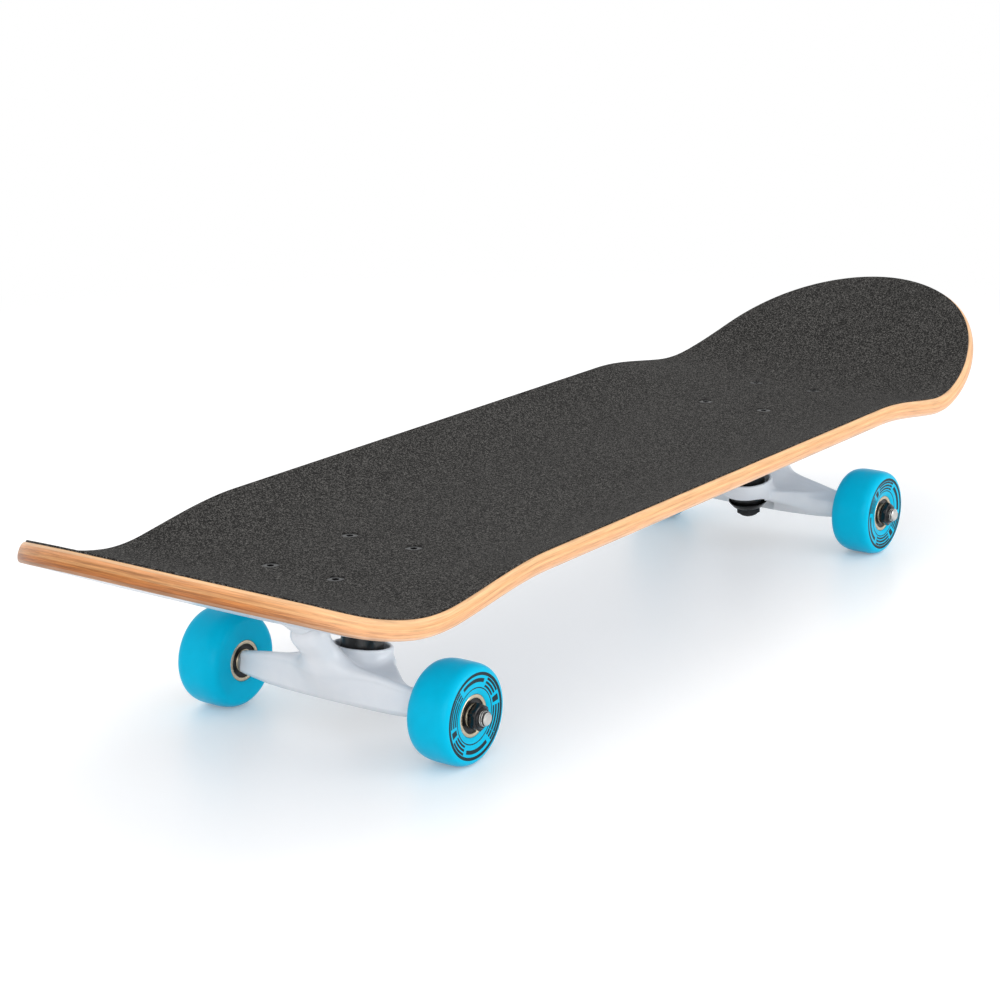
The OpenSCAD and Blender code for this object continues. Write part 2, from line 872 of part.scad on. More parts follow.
ply(1);  // ply_1
ply(2);  // ply_2
ply(3);  // ply_3
ply(4);  // ply_4
ply(5);  // ply_5
ply(6);  // ply_6
ply(7);  // ply_7
griptape();

for (end = ["front", "rear"]) {
    baseplate(end);
    pivot_cup(end);
    kingpin(end);
    kingpin_nut(end);
    boardside_bushing(end);
    roadside_bushing(end);
    boardside_washer(end);
    roadside_washer(end);
    hanger(end);
    axle(end);
    deck_bolts(end);
    lock_nuts(end);
    axle_nuts(end);
    speed_washers(end);
    bearing_spacers(end);
    inner_races(end);
    for (hand = ["left", "right"]) {
        name = str(end, "_", hand, "_");
        wheel(end, hand);
        outer_races(end, hand);
        bearing_shields(end, hand);
        ball_cages(end, hand);
    }
}
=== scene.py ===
# A street skateboard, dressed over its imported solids.
# X runs along the board to the front, Y to its left, Z up. Shapes are worked out in millimetres.
import math

import bpy
import numpy as np
from mathutils import Matrix, Vector
from mathutils.kdtree import KDTree


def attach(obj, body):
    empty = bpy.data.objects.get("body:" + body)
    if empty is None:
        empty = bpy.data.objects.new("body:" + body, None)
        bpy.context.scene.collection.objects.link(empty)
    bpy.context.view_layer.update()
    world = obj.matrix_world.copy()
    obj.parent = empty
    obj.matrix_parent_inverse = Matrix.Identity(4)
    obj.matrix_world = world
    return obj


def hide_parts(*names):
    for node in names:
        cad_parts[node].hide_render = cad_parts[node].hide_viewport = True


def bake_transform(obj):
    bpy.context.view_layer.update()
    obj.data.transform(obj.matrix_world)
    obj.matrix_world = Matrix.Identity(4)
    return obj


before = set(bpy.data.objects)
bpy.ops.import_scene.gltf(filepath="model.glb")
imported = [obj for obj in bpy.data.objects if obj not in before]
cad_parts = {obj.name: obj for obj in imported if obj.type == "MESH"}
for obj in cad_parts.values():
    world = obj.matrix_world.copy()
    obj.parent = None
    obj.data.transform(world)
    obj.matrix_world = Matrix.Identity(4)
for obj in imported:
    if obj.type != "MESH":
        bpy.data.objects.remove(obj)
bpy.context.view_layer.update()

# ---------------------------------------------------------------- the deck's seven veneers
# Hard maple veneers, glued crosswise in a press that gives the deck its concave and two kicks. The
# stack is cut to the outline, rounded at its edge and lacquered, with a pale stain underneath. Each
# veneer is a closed sheet on the same curved surface, so the glue lines follow every bend.

PLY, PLIES = 1.42, 7
WOOD = PLY * PLIES
UNDERSIDE = 80.5
WOOD_TOP = UNDERSIDE + WOOD
TAPE = 1.0
GRIT_TOP = WOOD_TOP + TAPE
HALF_WIDTH, FLAT_HALF, CONCAVE = 103.0, 30, 12.9
KICK_START, KICK_RADIUS, KICK_STRAIGHT = 250.0, 177.0, 79.88
KICK_ANGLE = math.radians(24.2)
KICK_ARC = KICK_RADIUS * KICK_ANGLE
HALF_LENGTH = KICK_START + KICK_ARC + KICK_STRAIGHT
TAPER_START, FADE_END, KICK_CONCAVE = 178.0, 283.0, 0.16
NOSE_FULLNESS, NOSE_BREADTH = 3.66, 1.97
TOP_ROUND, LOW_ROUND = (2.0, 4.9), (1.8, 4.4)  # how far in, over what depth
NOSE_ROWS, MIDDLE_ROWS, COLUMNS = 84, 11, 31
FACE_POINTS = (2 * NOSE_ROWS + MIDDLE_ROWS) * COLUMNS
BOLT_GROUP, BOLTS_ALONG, BOLTS_ACROSS = 211.5, 63.5, 41.3
BOLT_HOLE, COUNTERSINK = 2.6, 4.8


def on_deck(s, t, depth):
    """Points at s along the deck and t across it, at a depth below the top of the wood."""
    side, s = np.sign(s), np.abs(s)
    bend = KICK_ANGLE * np.clip((s - KICK_START) / KICK_ARC, 0, 1)
    past = np.maximum(s - KICK_START - KICK_ARC, 0)
    x = np.minimum(s, KICK_START) + KICK_RADIUS * np.sin(bend) + past * math.cos(KICK_ANGLE)
    z = KICK_RADIUS * (1 - np.cos(bend)) + past * math.sin(KICK_ANGLE)
    k = np.clip((s - TAPER_START) / (FADE_END - TAPER_START), 0, 1)
    fade = 1 - (1 - KICK_CONCAVE) * k * k * (3 - 2 * k)
    outer = np.maximum(np.abs(t) - FLAT_HALF, 0) / (HALF_WIDTH - FLAT_HALF)
    lift = CONCAVE * fade * outer ** 2 - depth
    return np.stack([side * (x - np.sin(bend) * lift), t, WOOD_TOP + z + np.cos(bend) * lift], -1)


def outline(angle, inset):
    """Distance along the deck and half-width of the outline, at an angle round the nose."""
    s = TAPER_START + (HALF_LENGTH - inset - TAPER_START) * np.sin(angle) ** (2 / NOSE_FULLNESS)
    return s, (HALF_WIDTH - inset) * np.cos(angle) ** (2 / NOSE_BREADTH)


def even_angles(count):
    """Angles round the nose that space the outline evenly, from the rail almost to the tip."""
    fine = np.radians(89.5) * np.linspace(0, 1, 4000) ** 1.6
    s, t = outline(fine, 0)
    run = np.concatenate([[0], np.cumsum(np.hypot(np.diff(s), np.diff(t)))])
    return np.interp(np.linspace(0, run[-1], count), run, fine)


def sheet_grid(inset, depth):
    """A grid of points over the whole deck, from the rear tip to the front one."""
    s, t = outline(even_angles(NOSE_ROWS), inset)
    middle = np.linspace(-TAPER_START, TAPER_START, MIDDLE_ROWS + 2)[1:-1]
    s = np.concatenate([-s[::-1], middle, s])
    t = np.concatenate([t[::-1], np.full(MIDDLE_ROWS, HALF_WIDTH - inset), t])
    across = np.sin(np.linspace(-math.pi / 2, math.pi / 2, COLUMNS))
    return on_deck(s[:, None] + 0 * across, t[:, None] * across, depth)


def round_over(depth):
    """How far the rounded edge draws in at a depth below the top of the wood."""
    inset, reach = TOP_ROUND if depth < WOOD / 2 else LOW_ROUND
    k = max(0, reach - max(0, min(depth, WOOD - depth))) / reach
    return inset * (1 - math.sqrt(1 - k * k))


def pressed_sheet(levels):
    """Points, faces and rim coordinates of a closed sheet. levels are (depth, inset) from its top
    face to its bottom one. The rim coordinates roll the edge round a drum, so that grain can follow
    it all the way."""
    grids = [sheet_grid(inset, depth) for depth, inset in levels]
    rows, cols = grids[0].shape[:2]
    at = np.arange(rows * cols).reshape(rows, cols)
    loop = np.concatenate([at[:, 0], at[-1, 1:], at[-2::-1, -1], at[0, -2:0:-1]])
    points = [grids[0].reshape(-1, 3), grids[-1].reshape(-1, 3)]
    points += [g.reshape(-1, 3)[loop] for g in grids[1:-1]]
    cell = np.stack([at[:-1, :-1], at[1:, :-1], at[1:, 1:], at[:-1, 1:]], -1).reshape(-1, 4)
    faces = [cell, cell[:, ::-1] + rows * cols]
    first, size = 2 * rows * cols, len(loop)
    between = [first + i * size + np.arange(size) for i in range(len(levels) - 2)]
    rings = [loop, *between, loop + rows * cols]
    for upper, lower in zip(rings[:-1], rings[1:]):
        faces.append(np.stack([lower, np.roll(lower, -1), np.roll(upper, -1), upper], -1))
    edge = grids[0].reshape(-1, 3)[loop]
    run = np.cumsum(np.linalg.norm(edge - np.roll(edge, 1, 0), axis=1))
    drum, turn = run[-1] / 2 / math.pi, run / run[-1] * 2 * math.pi
    rim = np.zeros((sum(map(len, points)), 3))
    for ring, (depth, _) in zip(rings, levels):
        level = np.full(size, depth)
        rim[ring] = np.stack([drum * np.cos(turn), drum * np.sin(turn), level], -1)
    return np.concatenate(points), np.concatenate(faces), rim


def spun(rings, segments=48, loop=False):
    """Points and faces of a form spun round Z. rings are (radius, height), upwards along the
    outside; a loop closes on its first ring, and otherwise the ends close on the axis."""
    a = np.arange(segments) / segments * 2 * math.pi
    points = [np.stack([np.cos(a) * r, np.sin(a) * r, np.full(segments, z)], -1) for r, z in rings]
    faces = []
    for i in range(len(rings) if loop else len(rings) - 1):
        k = (i + 1) % len(rings)
        for j in range(segments):
            n = (j + 1) % segments
            faces.append((i * segments + j, i * segments + n, k * segments + n, k * segments + j))
    if not loop:
        faces.append(tuple(range(segments - 1, -1, -1)))
        faces.append(tuple((len(rings) - 1) * segments + j for j in range(segments)))
    return np.concatenate(points), faces


def joined(*forms):
    """Several forms as one."""
    points, faces, start = [], [], 0
    for p, f in forms:
        points.append(p)
        faces += [tuple(i + start for i in face) for face in f]
        start += len(p)
    return np.concatenate(points), faces


def in_scene(name, data):
    """A new object in the scene."""
    thing = bpy.data.objects.new(name, data)
    bpy.context.scene.collection.objects.link(thing)
    return thing


def new_piece(name, points, faces, material, crease=40):
    """A mesh object at the origin, from points in millimetres, sharp at edges past crease."""
    mesh = bpy.data.meshes.new(name)
    mesh.from_pydata(np.asarray(points) * 0.001, [], [list(map(int, f)) for f in faces])
    mesh.materials.append(material)
    mesh.shade_smooth()
    mesh.set_sharp_from_angle(angle=math.radians(crease))
    mesh.validate()
    return in_scene(name, mesh)


def modified(piece):
    """Turns the piece into the plain mesh that its modifiers give."""
    live = piece.evaluated_get(bpy.context.evaluated_depsgraph_get())
    done = bpy.data.meshes.new_from_object(live)
    piece.modifiers.clear()
    piece.data = done
    done.name = piece.name


def bore(piece):
    """Drills the eight bolt holes through a layer of the deck."""
    holes = piece.modifiers.new("bolts", "BOOLEAN")
    holes.object, holes.operation, holes.solver = drill, "DIFFERENCE", "EXACT"
    modified(piece)


def stamp(piece, name, points, vectors):
    """Gives each point of the piece the vector of the place nearest to it, for its material."""
    tree = KDTree(len(points))
    for i, point in enumerate(np.asarray(points) * 0.001):
        tree.insert(point, i)
    tree.balance()
    nearest = [tree.find(v.co)[1] for v in piece.data.vertices]
    own = piece.data.attributes.new(name, "FLOAT_VECTOR", "POINT")
    own.data.foreach_set("vector", np.asarray(vectors, np.float32)[nearest].ravel())


def settle(piece, body, slot, *nodes):
    """The finished piece rides on its body and stands for its solids."""
    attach(piece, body)
    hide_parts(*nodes)


def linear(hex_colour):
    """An sRGB hex colour as the linear colour that sockets take."""
    parts = [int(hex_colour[i:i + 2], 16) / 255 for i in (0, 2, 4)]
    return (*[c / 12.92 if c <= 0.04045 else ((c + 0.055) / 1.055) ** 2.4 for c in parts], 1.0)


def add(tree, kind, inputs=(), **settings):
    """Adds a node with its settings. Inputs are values, hex colours, or the sockets that they come
    from; a node given as an input stands for its first live output."""
    node = tree.nodes.new(kind)
    for key, value in settings.items():
        setattr(node, key, value)
    for key, value in dict(inputs).items():
        if isinstance(value, str):
            value = linear(value)
        if isinstance(value, bpy.types.Node):
            value = next(output for output in value.outputs if output.enabled)
        if isinstance(value, bpy.types.NodeSocket):
            tree.links.new(value, node.inputs[key])
        else:
            node.inputs[key].default_value = value
    return node


def new_finish(name):
    """A material for one finish, with its empty tree."""
    material = bpy.data.materials.new(name)
    material.use_nodes = True
    material.node_tree.nodes.clear()
    return material, material.node_tree


def finished(material, **sockets):
    """The material with its shader; sockets are values or nodes, with spaces as underscores."""
    tree, inputs = material.node_tree, {key.replace("_", " "): sockets[key] for key in sockets}
    shader = add(tree, "ShaderNodeBsdfPrincipled", inputs)
    add(tree, "ShaderNodeOutputMaterial", {"Surface": shader})
    return material


FROM, TO = 6, 7  # a Mix node's two colour inputs, whose names its others share


def lacquered_maple(name, rail, end, lively, number):
    """Lacquered maple veneer, seen mostly by its edge. Along the rails it is pale and even; round
    the nose and the tail the cut fibres drink more lacquer, so the tone deepens and breaks into
    streaks 20 mm long. The deeper tone on faces that point along the board is partly that end grain
    and partly painted shade, for ends that turn away from the light."""
    material, tree = new_finish(name)
    normal = add(tree, "ShaderNodeTexCoord").outputs["Normal"]
    facing = add(tree, "ShaderNodeSeparateXYZ", {"Vector": normal})
    away = add(tree, "ShaderNodeMath", {0: facing}, operation="ABSOLUTE")
    # How far a face points along the board; there it takes the end colour, partly end grain and
    # partly painted shade.
    end_grain_and_shade = add(tree, "ShaderNodeMapRange", {"Value": away, "From Min": 0.1, "From Max": 0.7},
                interpolation_type="SMOOTHSTEP")
    rim = add(tree, "ShaderNodeAttribute", attribute_name="rim").outputs["Vector"]
    grain = add(tree, "ShaderNodeMapping", {"Vector": rim, "Location": (number * 9.7, 0, 0),
                                            "Scale": (0.045, 0.045, 1.1)})
    streak = add(tree, "ShaderNodeTexNoise", {"Vector": grain, "Scale": 1.0, "Detail": 5.0,
                                              "Roughness": 0.7})
    tone = add(tree, "ShaderNodeMix", {"Factor": end_grain_and_shade, FROM: rail, TO: end}, data_type="RGBA")
    swing = add(tree, "ShaderNodeMapRange", {"Value": end_grain_and_shade, "To Min": 0.42, "To Max": lively})
    level = add(tree, "ShaderNodeMapRange", {"Value": streak, "From Min": 0.35, "From Max": 0.65,
                                             "To Min": -0.5, "To Max": 0.5})
    change = add(tree, "ShaderNodeMath", {0: level, 1: swing, 2: 1.0}, operation="MULTIPLY_ADD")
    wood = add(tree, "ShaderNodeVectorMath", {0: tone, "Scale": change}, operation="SCALE")
    raised = add(tree, "ShaderNodeBump", {"Height": streak, "Strength": 0.1, "Distance": 0.0002})
    return finished(material, Base_Color=wood, Normal=raised, Roughness=0.42, Coat_Weight=0.08,
                    Coat_Roughness=0.25, Specular_IOR_Level=0.3)


def pale_stain():
    """A pale grey-blue stain under lacquer on the underside: the long grain shows through it as
    darker hairlines."""
    material, tree = new_finish("blue_stained_maple")
    where = add(tree, "ShaderNodeTexCoord").outputs["Object"]
    grain = add(tree, "ShaderNodeMapping", {"Vector": where, "Scale": (7, 420, 7)})
    lines = add(tree, "ShaderNodeTexNoise", {"Vector": grain, "Scale": 1.0, "Detail": 5.0,
                                             "Roughness": 0.6, "Distortion": 0.5})
    figure = add(tree, "ShaderNodeMapping", {"Vector": where, "Scale": (2.2, 26, 2.2)})
    broad = add(tree, "ShaderNodeTexNoise", {"Vector": figure, "Scale": 1.0, "Detail": 2.0})
    both = add(tree, "ShaderNodeMath", {0: lines, 1: broad}, operation="ADD")
    level = add(tree, "ShaderNodeMapRange", {"Value": both, "From Min": 0.75, "From Max": 1.25})
    tone = add(tree, "ShaderNodeMix", {"Factor": level, FROM: "BCC3CF", TO: "D8DDE4"},
               data_type="RGBA")
    raised = add(tree, "ShaderNodeBump", {"Height": lines, "Strength": 0.1, "Distance": 0.0002})
    return finished(material, Base_Color=tone, Normal=raised, Roughness=0.34, Coat_Weight=0.3,
                    Coat_Roughness=0.2)


# Each veneer's finish, its colour along the rails and round the ends, and how much it varies there.
# The end colours are partly end grain and partly painted shade, darker on the lower veneers.
VENEERS = {
    7: ("face_maple", "E5B586", "D7AE86", 0.31),
    6: ("pale_maple_upper", "E8B27F", "CE9162", 0.56),
    5: ("cross_maple_upper", "E1A773", "B77D4D", 0.75),
    4: ("pale_maple_middle", "E9B481", "C18A57", 0.62),
    3: ("cross_maple_lower", "E1A779", "AB6B35", 0.88),
    2: ("pale_maple_lower", "E6AF82", "9D6032", 0.88),
    1: ("back_maple", "E4BA99", "A07557", 0.62),
}
# One countersunk drill for each bolt, as one cutter for every layer of the deck.
bit_points, bit_faces = spun([(BOLT_HOLE, UNDERSIDE - 5), (BOLT_HOLE, WOOD_TOP - 1.6),
                              (COUNTERSINK, GRIT_TOP), (COUNTERSINK, GRIT_TOP + 5)], 32)
bits = [(bit_points + (g * BOLT_GROUP + x * BOLTS_ALONG / 2, y * BOLTS_ACROSS / 2, 0), bit_faces)
        for g in (-1, 1) for x in (-1, 1) for y in (-1, 1)]
points, faces = joined(*bits)
drill_mesh = bpy.data.meshes.new("drill")
drill_mesh.from_pydata(points * 0.001, [], faces)
drill = in_scene("drill", drill_mesh)

for number, (finish, rail, end, lively) in VENEERS.items():
    top = (PLIES - number) * PLY
    depths = [top + PLY * k / 4 for k in range(5)]
    points, faces, rim = pressed_sheet([(depth, round_over(depth)) for depth in depths])
    maple = lacquered_maple(finish, rail, end, lively, number)
    veneer = new_piece(f"veneer_{number}", points, faces, maple)
    slot = "maple" if number % 2 else "maple_core"
    if number == 1:
        slot = "blue_stained_maple"
        veneer.data.materials.append(pale_stain())
        for polygon in veneer.data.polygons:
            on_a_face = max(polygon.vertices) < 2 * FACE_POINTS
            polygon.material_index = int(on_a_face and polygon.normal.z < -0.5)
    bore(veneer)
    stamp(veneer, "rim", points, rim)
    settle(veneer, "board", slot, f"ply_{number}")

# ---------------------------------------------------------------- griptape
# Black silicon carbide grit in resin on a polyester sheet, with glue on its back. It is rolled onto
# the deck, cut round with a blade and filed at the edge, so it stops just inside the round of the
# wood.


def grit():
    """Grit a third of a millimetre across, drawn nearly twice as coarse so that it shows; the
    lighter grains in its colour are painted glints."""
    material, tree = new_finish("silicon_carbide_grit")
    where = add(tree, "ShaderNodeTexCoord").outputs["Object"]
    grains = add(tree, "ShaderNodeTexVoronoi", {"Vector": where, "Scale": 1800.0})
    fine = add(tree, "ShaderNodeTexNoise", {"Vector": where, "Scale": 1400.0, "Detail": 3.0,
                                            "Roughness": 0.8})
    worn = add(tree, "ShaderNodeTexNoise", {"Vector": where, "Scale": 14.0, "Detail": 2.0})
    level = add(tree, "ShaderNodeMix", {"Factor": 0.45, 2: grains.outputs["Color"], 3: fine},
                data_type="FLOAT")
    # The light end of this ramp paints glints onto the grains, as painted highlights.
    tone = add(tree, "ShaderNodeValToRGB", {"Fac": level})
    ramp = tone.color_ramp
    ramp.elements[0].position, ramp.elements[0].color = 0.22, linear("0E0E0D")
    ramp.elements[1].position, ramp.elements[1].color = 0.78, linear("767471")
    ramp.elements.new(0.5).color = linear("292827")
    shade = add(tree, "ShaderNodeMapRange", {"Value": worn, "To Min": 0.76, "To Max": 0.92})
    grey = add(tree, "ShaderNodeVectorMath", {0: tone, "Scale": shade}, operation="SCALE")
    raised = add(tree, "ShaderNodeBump", {"Height": level, "Strength": 0.6, "Distance": 0.0004})
    return finished(material, Base_Color=grey, Normal=raised, Roughness=0.9,
                    Specular_IOR_Level=0.15)


TAPE_INSET = 2.1
points, faces, _ = pressed_sheet([(-TAPE, TAPE_INSET + 0.3), (-0.8, TAPE_INSET + 0.06),
                                  (-0.1, TAPE_INSET), (0.0, TAPE_INSET)])
griptape = new_piece("griptape_sheet", points, faces, grit())
bore(griptape)
settle(griptape, "board", "griptape", "griptape")
bpy.data.objects.remove(drill)

# ---------------------------------------------------------------- truck bolts and lock nuts
# Black steel machine screws with countersunk heads and hexagon sockets, four to a truck, pulled
# down into the grit. Below the baseplate each takes a lock nut with a nylon ring. They are spun
# forms whose radius may change round the turn, which gives the hexagons and the threads.

PLATE = 9.5
SCREW_TOP = WOOD_TOP + 0.55
SCREW, SCREW_PITCH = 2.38, 0.794
SCREW_NUT, SCREW_NUT_HEIGHT = 9.5, 6.5
SCREW_LOW = UNDERSIDE - PLATE - SCREW_NUT_HEIGHT - 1.6
STEPS = np.arange(48) / 48  # the steps round a fastener, in turns


def hexagon(across_flats):
    """Radius of a hexagon at each step round the turn."""
    a = STEPS * 2 * math.pi
    return across_flats / 2 / np.cos((a + math.pi / 6) % (math.pi / 3) - math.pi / 6)


def thread(radius, pitch, low, high):
    """Rings of a rolled thread, whose crest climbs one pitch a turn."""
    return [(radius - 0.5 * pitch * (1 - np.abs(((z / pitch - STEPS) % 1) * 2 - 1)), z)
            for z in np.arange(low, high, pitch / 6)]


def moved(form, matrix):
    """A form put in place by a 4x4 matrix."""
    p = np.concatenate([form[0], np.ones((len(form[0]), 1))], 1) @ np.array(matrix).T
    return p[:, :3], form[1]


def lock_nut(across_flats, height, hole):
    """A hexagon lock nut seated at height 0, with a turned collar over its nylon ring."""
    hexa, corner, body = hexagon(across_flats), across_flats / math.sqrt(3), height * 0.7
    collar, nylon = (across_flats / 2 + hole + 0.5) / 2, hole + 0.35
    rings = [(np.minimum(hexa, corner - cut), z)
             for cut, z in ((0.55, 0.0), (0, 0.35), (0, body - 0.5), (0.7, body))]
    rings += [(collar + 0.4, body + 0.05), (collar, body + 0.4), (collar - 0.1, height - 0.5),
              (collar - 0.5, height - 0.1), (collar - 0.6, height), (nylon, height),
              (nylon, height - 0.5), (hole, height - 0.6), (hole, 0.5), (hole + 0.45, 0.0)]
    return spun(rings, loop=True)


def blackened_steel(name, roughness=0.36):
    """Black-oxide steel: near black, with a low oily sheen and fine tool marks."""
    material, tree = new_finish(name)
    where = add(tree, "ShaderNodeTexCoord").outputs["Object"]
    marks = add(tree, "ShaderNodeTexNoise", {"Vector": where, "Scale": 1600.0, "Detail": 3.0})
    tone = add(tree, "ShaderNodeMix", {"Factor": marks, FROM: "141414", TO: "26272A"},
               data_type="RGBA")
    raised = add(tree, "ShaderNodeBump", {"Height": marks, "Strength": 0.12, "Distance": 0.0001})
    return finished(material, Base_Color=tone, Normal=raised, Roughness=roughness,
                    Metallic=0.55)


def four_at_a_truck(name, form, middle, material):
    """Instances of one fastener at the four corners of a truck's bolts, as one plain mesh."""
    single = new_piece(name + "_one", *form, material)
    tree = bpy.data.node_groups.new(name, "GeometryNodeTree")
    for title, size in (("Along", BOLTS_ALONG), ("Across", BOLTS_ACROSS), ("Middle", middle)):
        given = tree.interface.new_socket(title, in_out="INPUT", socket_type="NodeSocketFloat")
        given.default_value = size * 0.001
    tree.interface.new_socket("Geometry", in_out="OUTPUT", socket_type="NodeSocketGeometry")
    given = add(tree, "NodeGroupInput").outputs
    corners = add(tree, "GeometryNodeMeshGrid", {
        "Size X": given["Along"], "Size Y": given["Across"], "Vertices X": 2, "Vertices Y": 2})
    shift = add(tree, "ShaderNodeCombineXYZ", {"X": given["Middle"]})
    placed = add(tree, "GeometryNodeTransform", {"Geometry": corners, "Translation": shift})
    source = add(tree, "GeometryNodeObjectInfo", {"Object": single}).outputs["Geometry"]
    copies = add(tree, "GeometryNodeInstanceOnPoints", {"Points": placed, "Instance": source})
    real = add(tree, "GeometryNodeRealizeInstances", {"Geometry": copies})
    dressed = add(tree, "GeometryNodeSetMaterial", {"Geometry": real, "Material": material})
    add(tree, "NodeGroupOutput", {"Geometry": dressed})
    piece = new_piece(name, np.zeros((1, 3)), [], material)
    piece.modifiers.new("fasteners", "NODES").node_group = tree
    modified(piece)
    bpy.data.objects.remove(single)
    return piece


socket = hexagon(3.2)
screw_rings = [(1.7, SCREW_LOW), (2.1, SCREW_LOW + 0.3)]
screw_rings += thread(SCREW, SCREW_PITCH, SCREW_LOW + 0.4, SCREW_TOP - 4.0)
screw_rings += [(r, SCREW_TOP - down) for r, down in (
    (SCREW, 3.9), (2.4, 2.6), (4.45, 0.25), (4.5, 0.1), (4.3, 0), (socket + 0.25, 0),
    (socket, 0.25), (socket, 2.0), (0.3, 2.3))]
black_screw = blackened_steel("black_oxide_screw", 0.3)
black_nut = blackened_steel("black_oxide_nut")
turned_over = Matrix.Rotation(math.pi, 4, "X")
for end, sign in (("front", 1), ("rear", -1)):
    screws = four_at_a_truck(f"{end}_screws", spun(screw_rings), sign * BOLT_GROUP, black_screw)
    settle(screws, "board", "black_steel", f"{end}_deck_bolts")
    nut = moved(lock_nut(SCREW_NUT, SCREW_NUT_HEIGHT, 2.42),
                Matrix.Translation((0, 0, UNDERSIDE - PLATE)) @ turned_over)
    nuts = four_at_a_truck(f"{end}_screw_nuts", nut, sign * BOLT_GROUP, black_nut)
    settle(nuts, "board", "black_steel", f"{end}_lock_nuts")

# ---------------------------------------------------------------- baseplates
# Cast aluminium plates with a white powder coat, bolted under the deck. Each has a leaning tower
# for the kingpin and a short boss for the pivot cup. A casting is skinned from a field of distances
# to its forms, because every corner and every join of a cast part is rounded.

WHEEL_RADIUS = 26
AXLE_X = 218.5
STEER_X, STEER_Z = -20.3, 7  # where kingpin and steering axis meet, from the axle's middle
LEAN, STEER = math.radians(8), math.radians(38)
PIN_TILT, PIVOT_TILT = -LEAN, math.pi / 2 - STEER
PLATE_TOP, PLATE_X = UNDERSIDE - WHEEL_RADIUS, BOLT_GROUP - AXLE_X
PLATE_HALF_LENGTH, PLATE_HALF_WIDTH = 46, 28
SEAT_TOP, BOSS_LOW = 19.2, 56


def blended(a, b, k):
    """The union of two distance fields with a fillet k wide."""
    h = np.clip(0.5 + 0.5 * (b - a) / k, 0, 1)
    return b * (1 - h) + a * h - k * h * (1 - h)


def within(a, b, k):
    """The part that two fields share, its edge rounded over k."""
    return -blended(-a, -b, k)


def rounded_corner(a, b, radius):
    """The part that two fields at right angles share, its corner rounded to a radius."""
    a, b = a + radius, b + radius
    return np.minimum(np.maximum(a, b), 0) + np.hypot(np.maximum(a, 0), np.maximum(b, 0)) - radius


def rod(x, y, z, start, finish, r1, r2):
    """Distance to a rod with round ends that tapers from r1 to r2."""
    a, n = np.array(start, float), np.array(finish, float) - start
    k = np.clip(((x - a[0]) * n[0] + (y - a[1]) * n[1] + (z - a[2]) * n[2]) / n.dot(n), 0, 1)
    off = (x - a[0] - k * n[0]) ** 2 + (y - a[1] - k * n[1]) ** 2 + (z - a[2] - k * n[2]) ** 2
    return np.sqrt(off) - (r1 + (r2 - r1) * k)


def skinned(field, low, high, cell):
    """Points and faces of the surface where a field is zero: one point for each cell it crosses."""
    axes = [np.arange(a, b + cell, cell) for a, b in zip(low, high)]
    value = field(*np.meshgrid(*axes, indexing="ij"))
    n = np.array(value.shape) - 1
    total, count, crossings = np.zeros((*n, 3)), np.zeros(n), []
    for axis in range(3):
        one, two = (axis + 1) % 3, (axis + 2) % 3
        a = np.take(value, range(n[axis]), axis)
        b = np.take(value, range(1, n[axis] + 1), axis)
        cross = (a < 0) != (b < 0)
        part = np.where(cross, a / np.where(cross, a - b, 1), 0)
        crossings.append((cross, a < 0))
        for i, j in ((0, 0), (0, 1), (1, 0), (1, 1)):
            at = [slice(None)] * 3
            at[one], at[two] = slice(i, i + n[one]), slice(j, j + n[two])
            here = cross[tuple(at)]
            total[..., axis] += part[tuple(at)]
            total[..., one] += here * i
            total[..., two] += here * j
            count += here
    used = count > 0
    number = np.full(n, -1)
    number[used] = np.arange(used.sum())
    points = (np.argwhere(used) + total[used] / count[used][:, None]) * cell + np.array(low)
    faces = []
    for axis, (cross, inner) in enumerate(crossings):
        one, two = (axis + 1) % 3, (axis + 2) % 3
        at = [slice(None)] * 3
        at[one], at[two] = slice(1, n[one]), slice(1, n[two])
        here, outward = np.argwhere(cross[tuple(at)]), inner[tuple(at)][cross[tuple(at)]]
        corners = []
        for i, j in ((0, 0), (1, 0), (1, 1), (0, 1)):
            around = here.copy()
            around[:, one] += i
            around[:, two] += j
            corners.append(number[tuple(around.T)])
        quads = np.stack(corners, -1)
        faces += [quads[outward], quads[~outward][:, ::-1]]
    for _ in range(2):  # draws the points onto the surface
        here = field(*points.T)
        slope = [(field(*(points + d).T) - field(*(points - d).T)) / 0.2 for d in np.eye(3) * 0.1]
        slope = np.stack(slope, -1)
        step = here[:, None] * slope / np.maximum((slope ** 2).sum(-1), 0.2)[:, None]
        points = points - np.clip(step, -0.3 * cell, 0.3 * cell)
    return points, np.concatenate(faces)


def in_truck(end):
    """From a truck's own frame, with its origin at the middle of the axle, to the board's."""
    turn = Matrix.Rotation(0 if end == "front" else math.pi, 4, "Z")
    return turn @ Matrix.Translation((AXLE_X, 0, WHEEL_RADIUS))


def along(tilt, end, up=0):
    """From a frame whose Z runs up the tilted kingpin or steering axis to the board's."""
    return (in_truck(end) @ Matrix.Translation((STEER_X, 0, STEER_Z))
            @ Matrix.Rotation(tilt, 4, "Y") @ Matrix.Translation((0, 0, up)))


def off_axis(tilt, x, y, z):
    """Height along the kingpin or steering axis and distance from it, in a truck's frame."""
    x, z = x - STEER_X, z - STEER_Z
    height = x * math.sin(tilt) + z * math.cos(tilt)
    return height, np.hypot(x * math.cos(tilt) - z * math.sin(tilt), y)


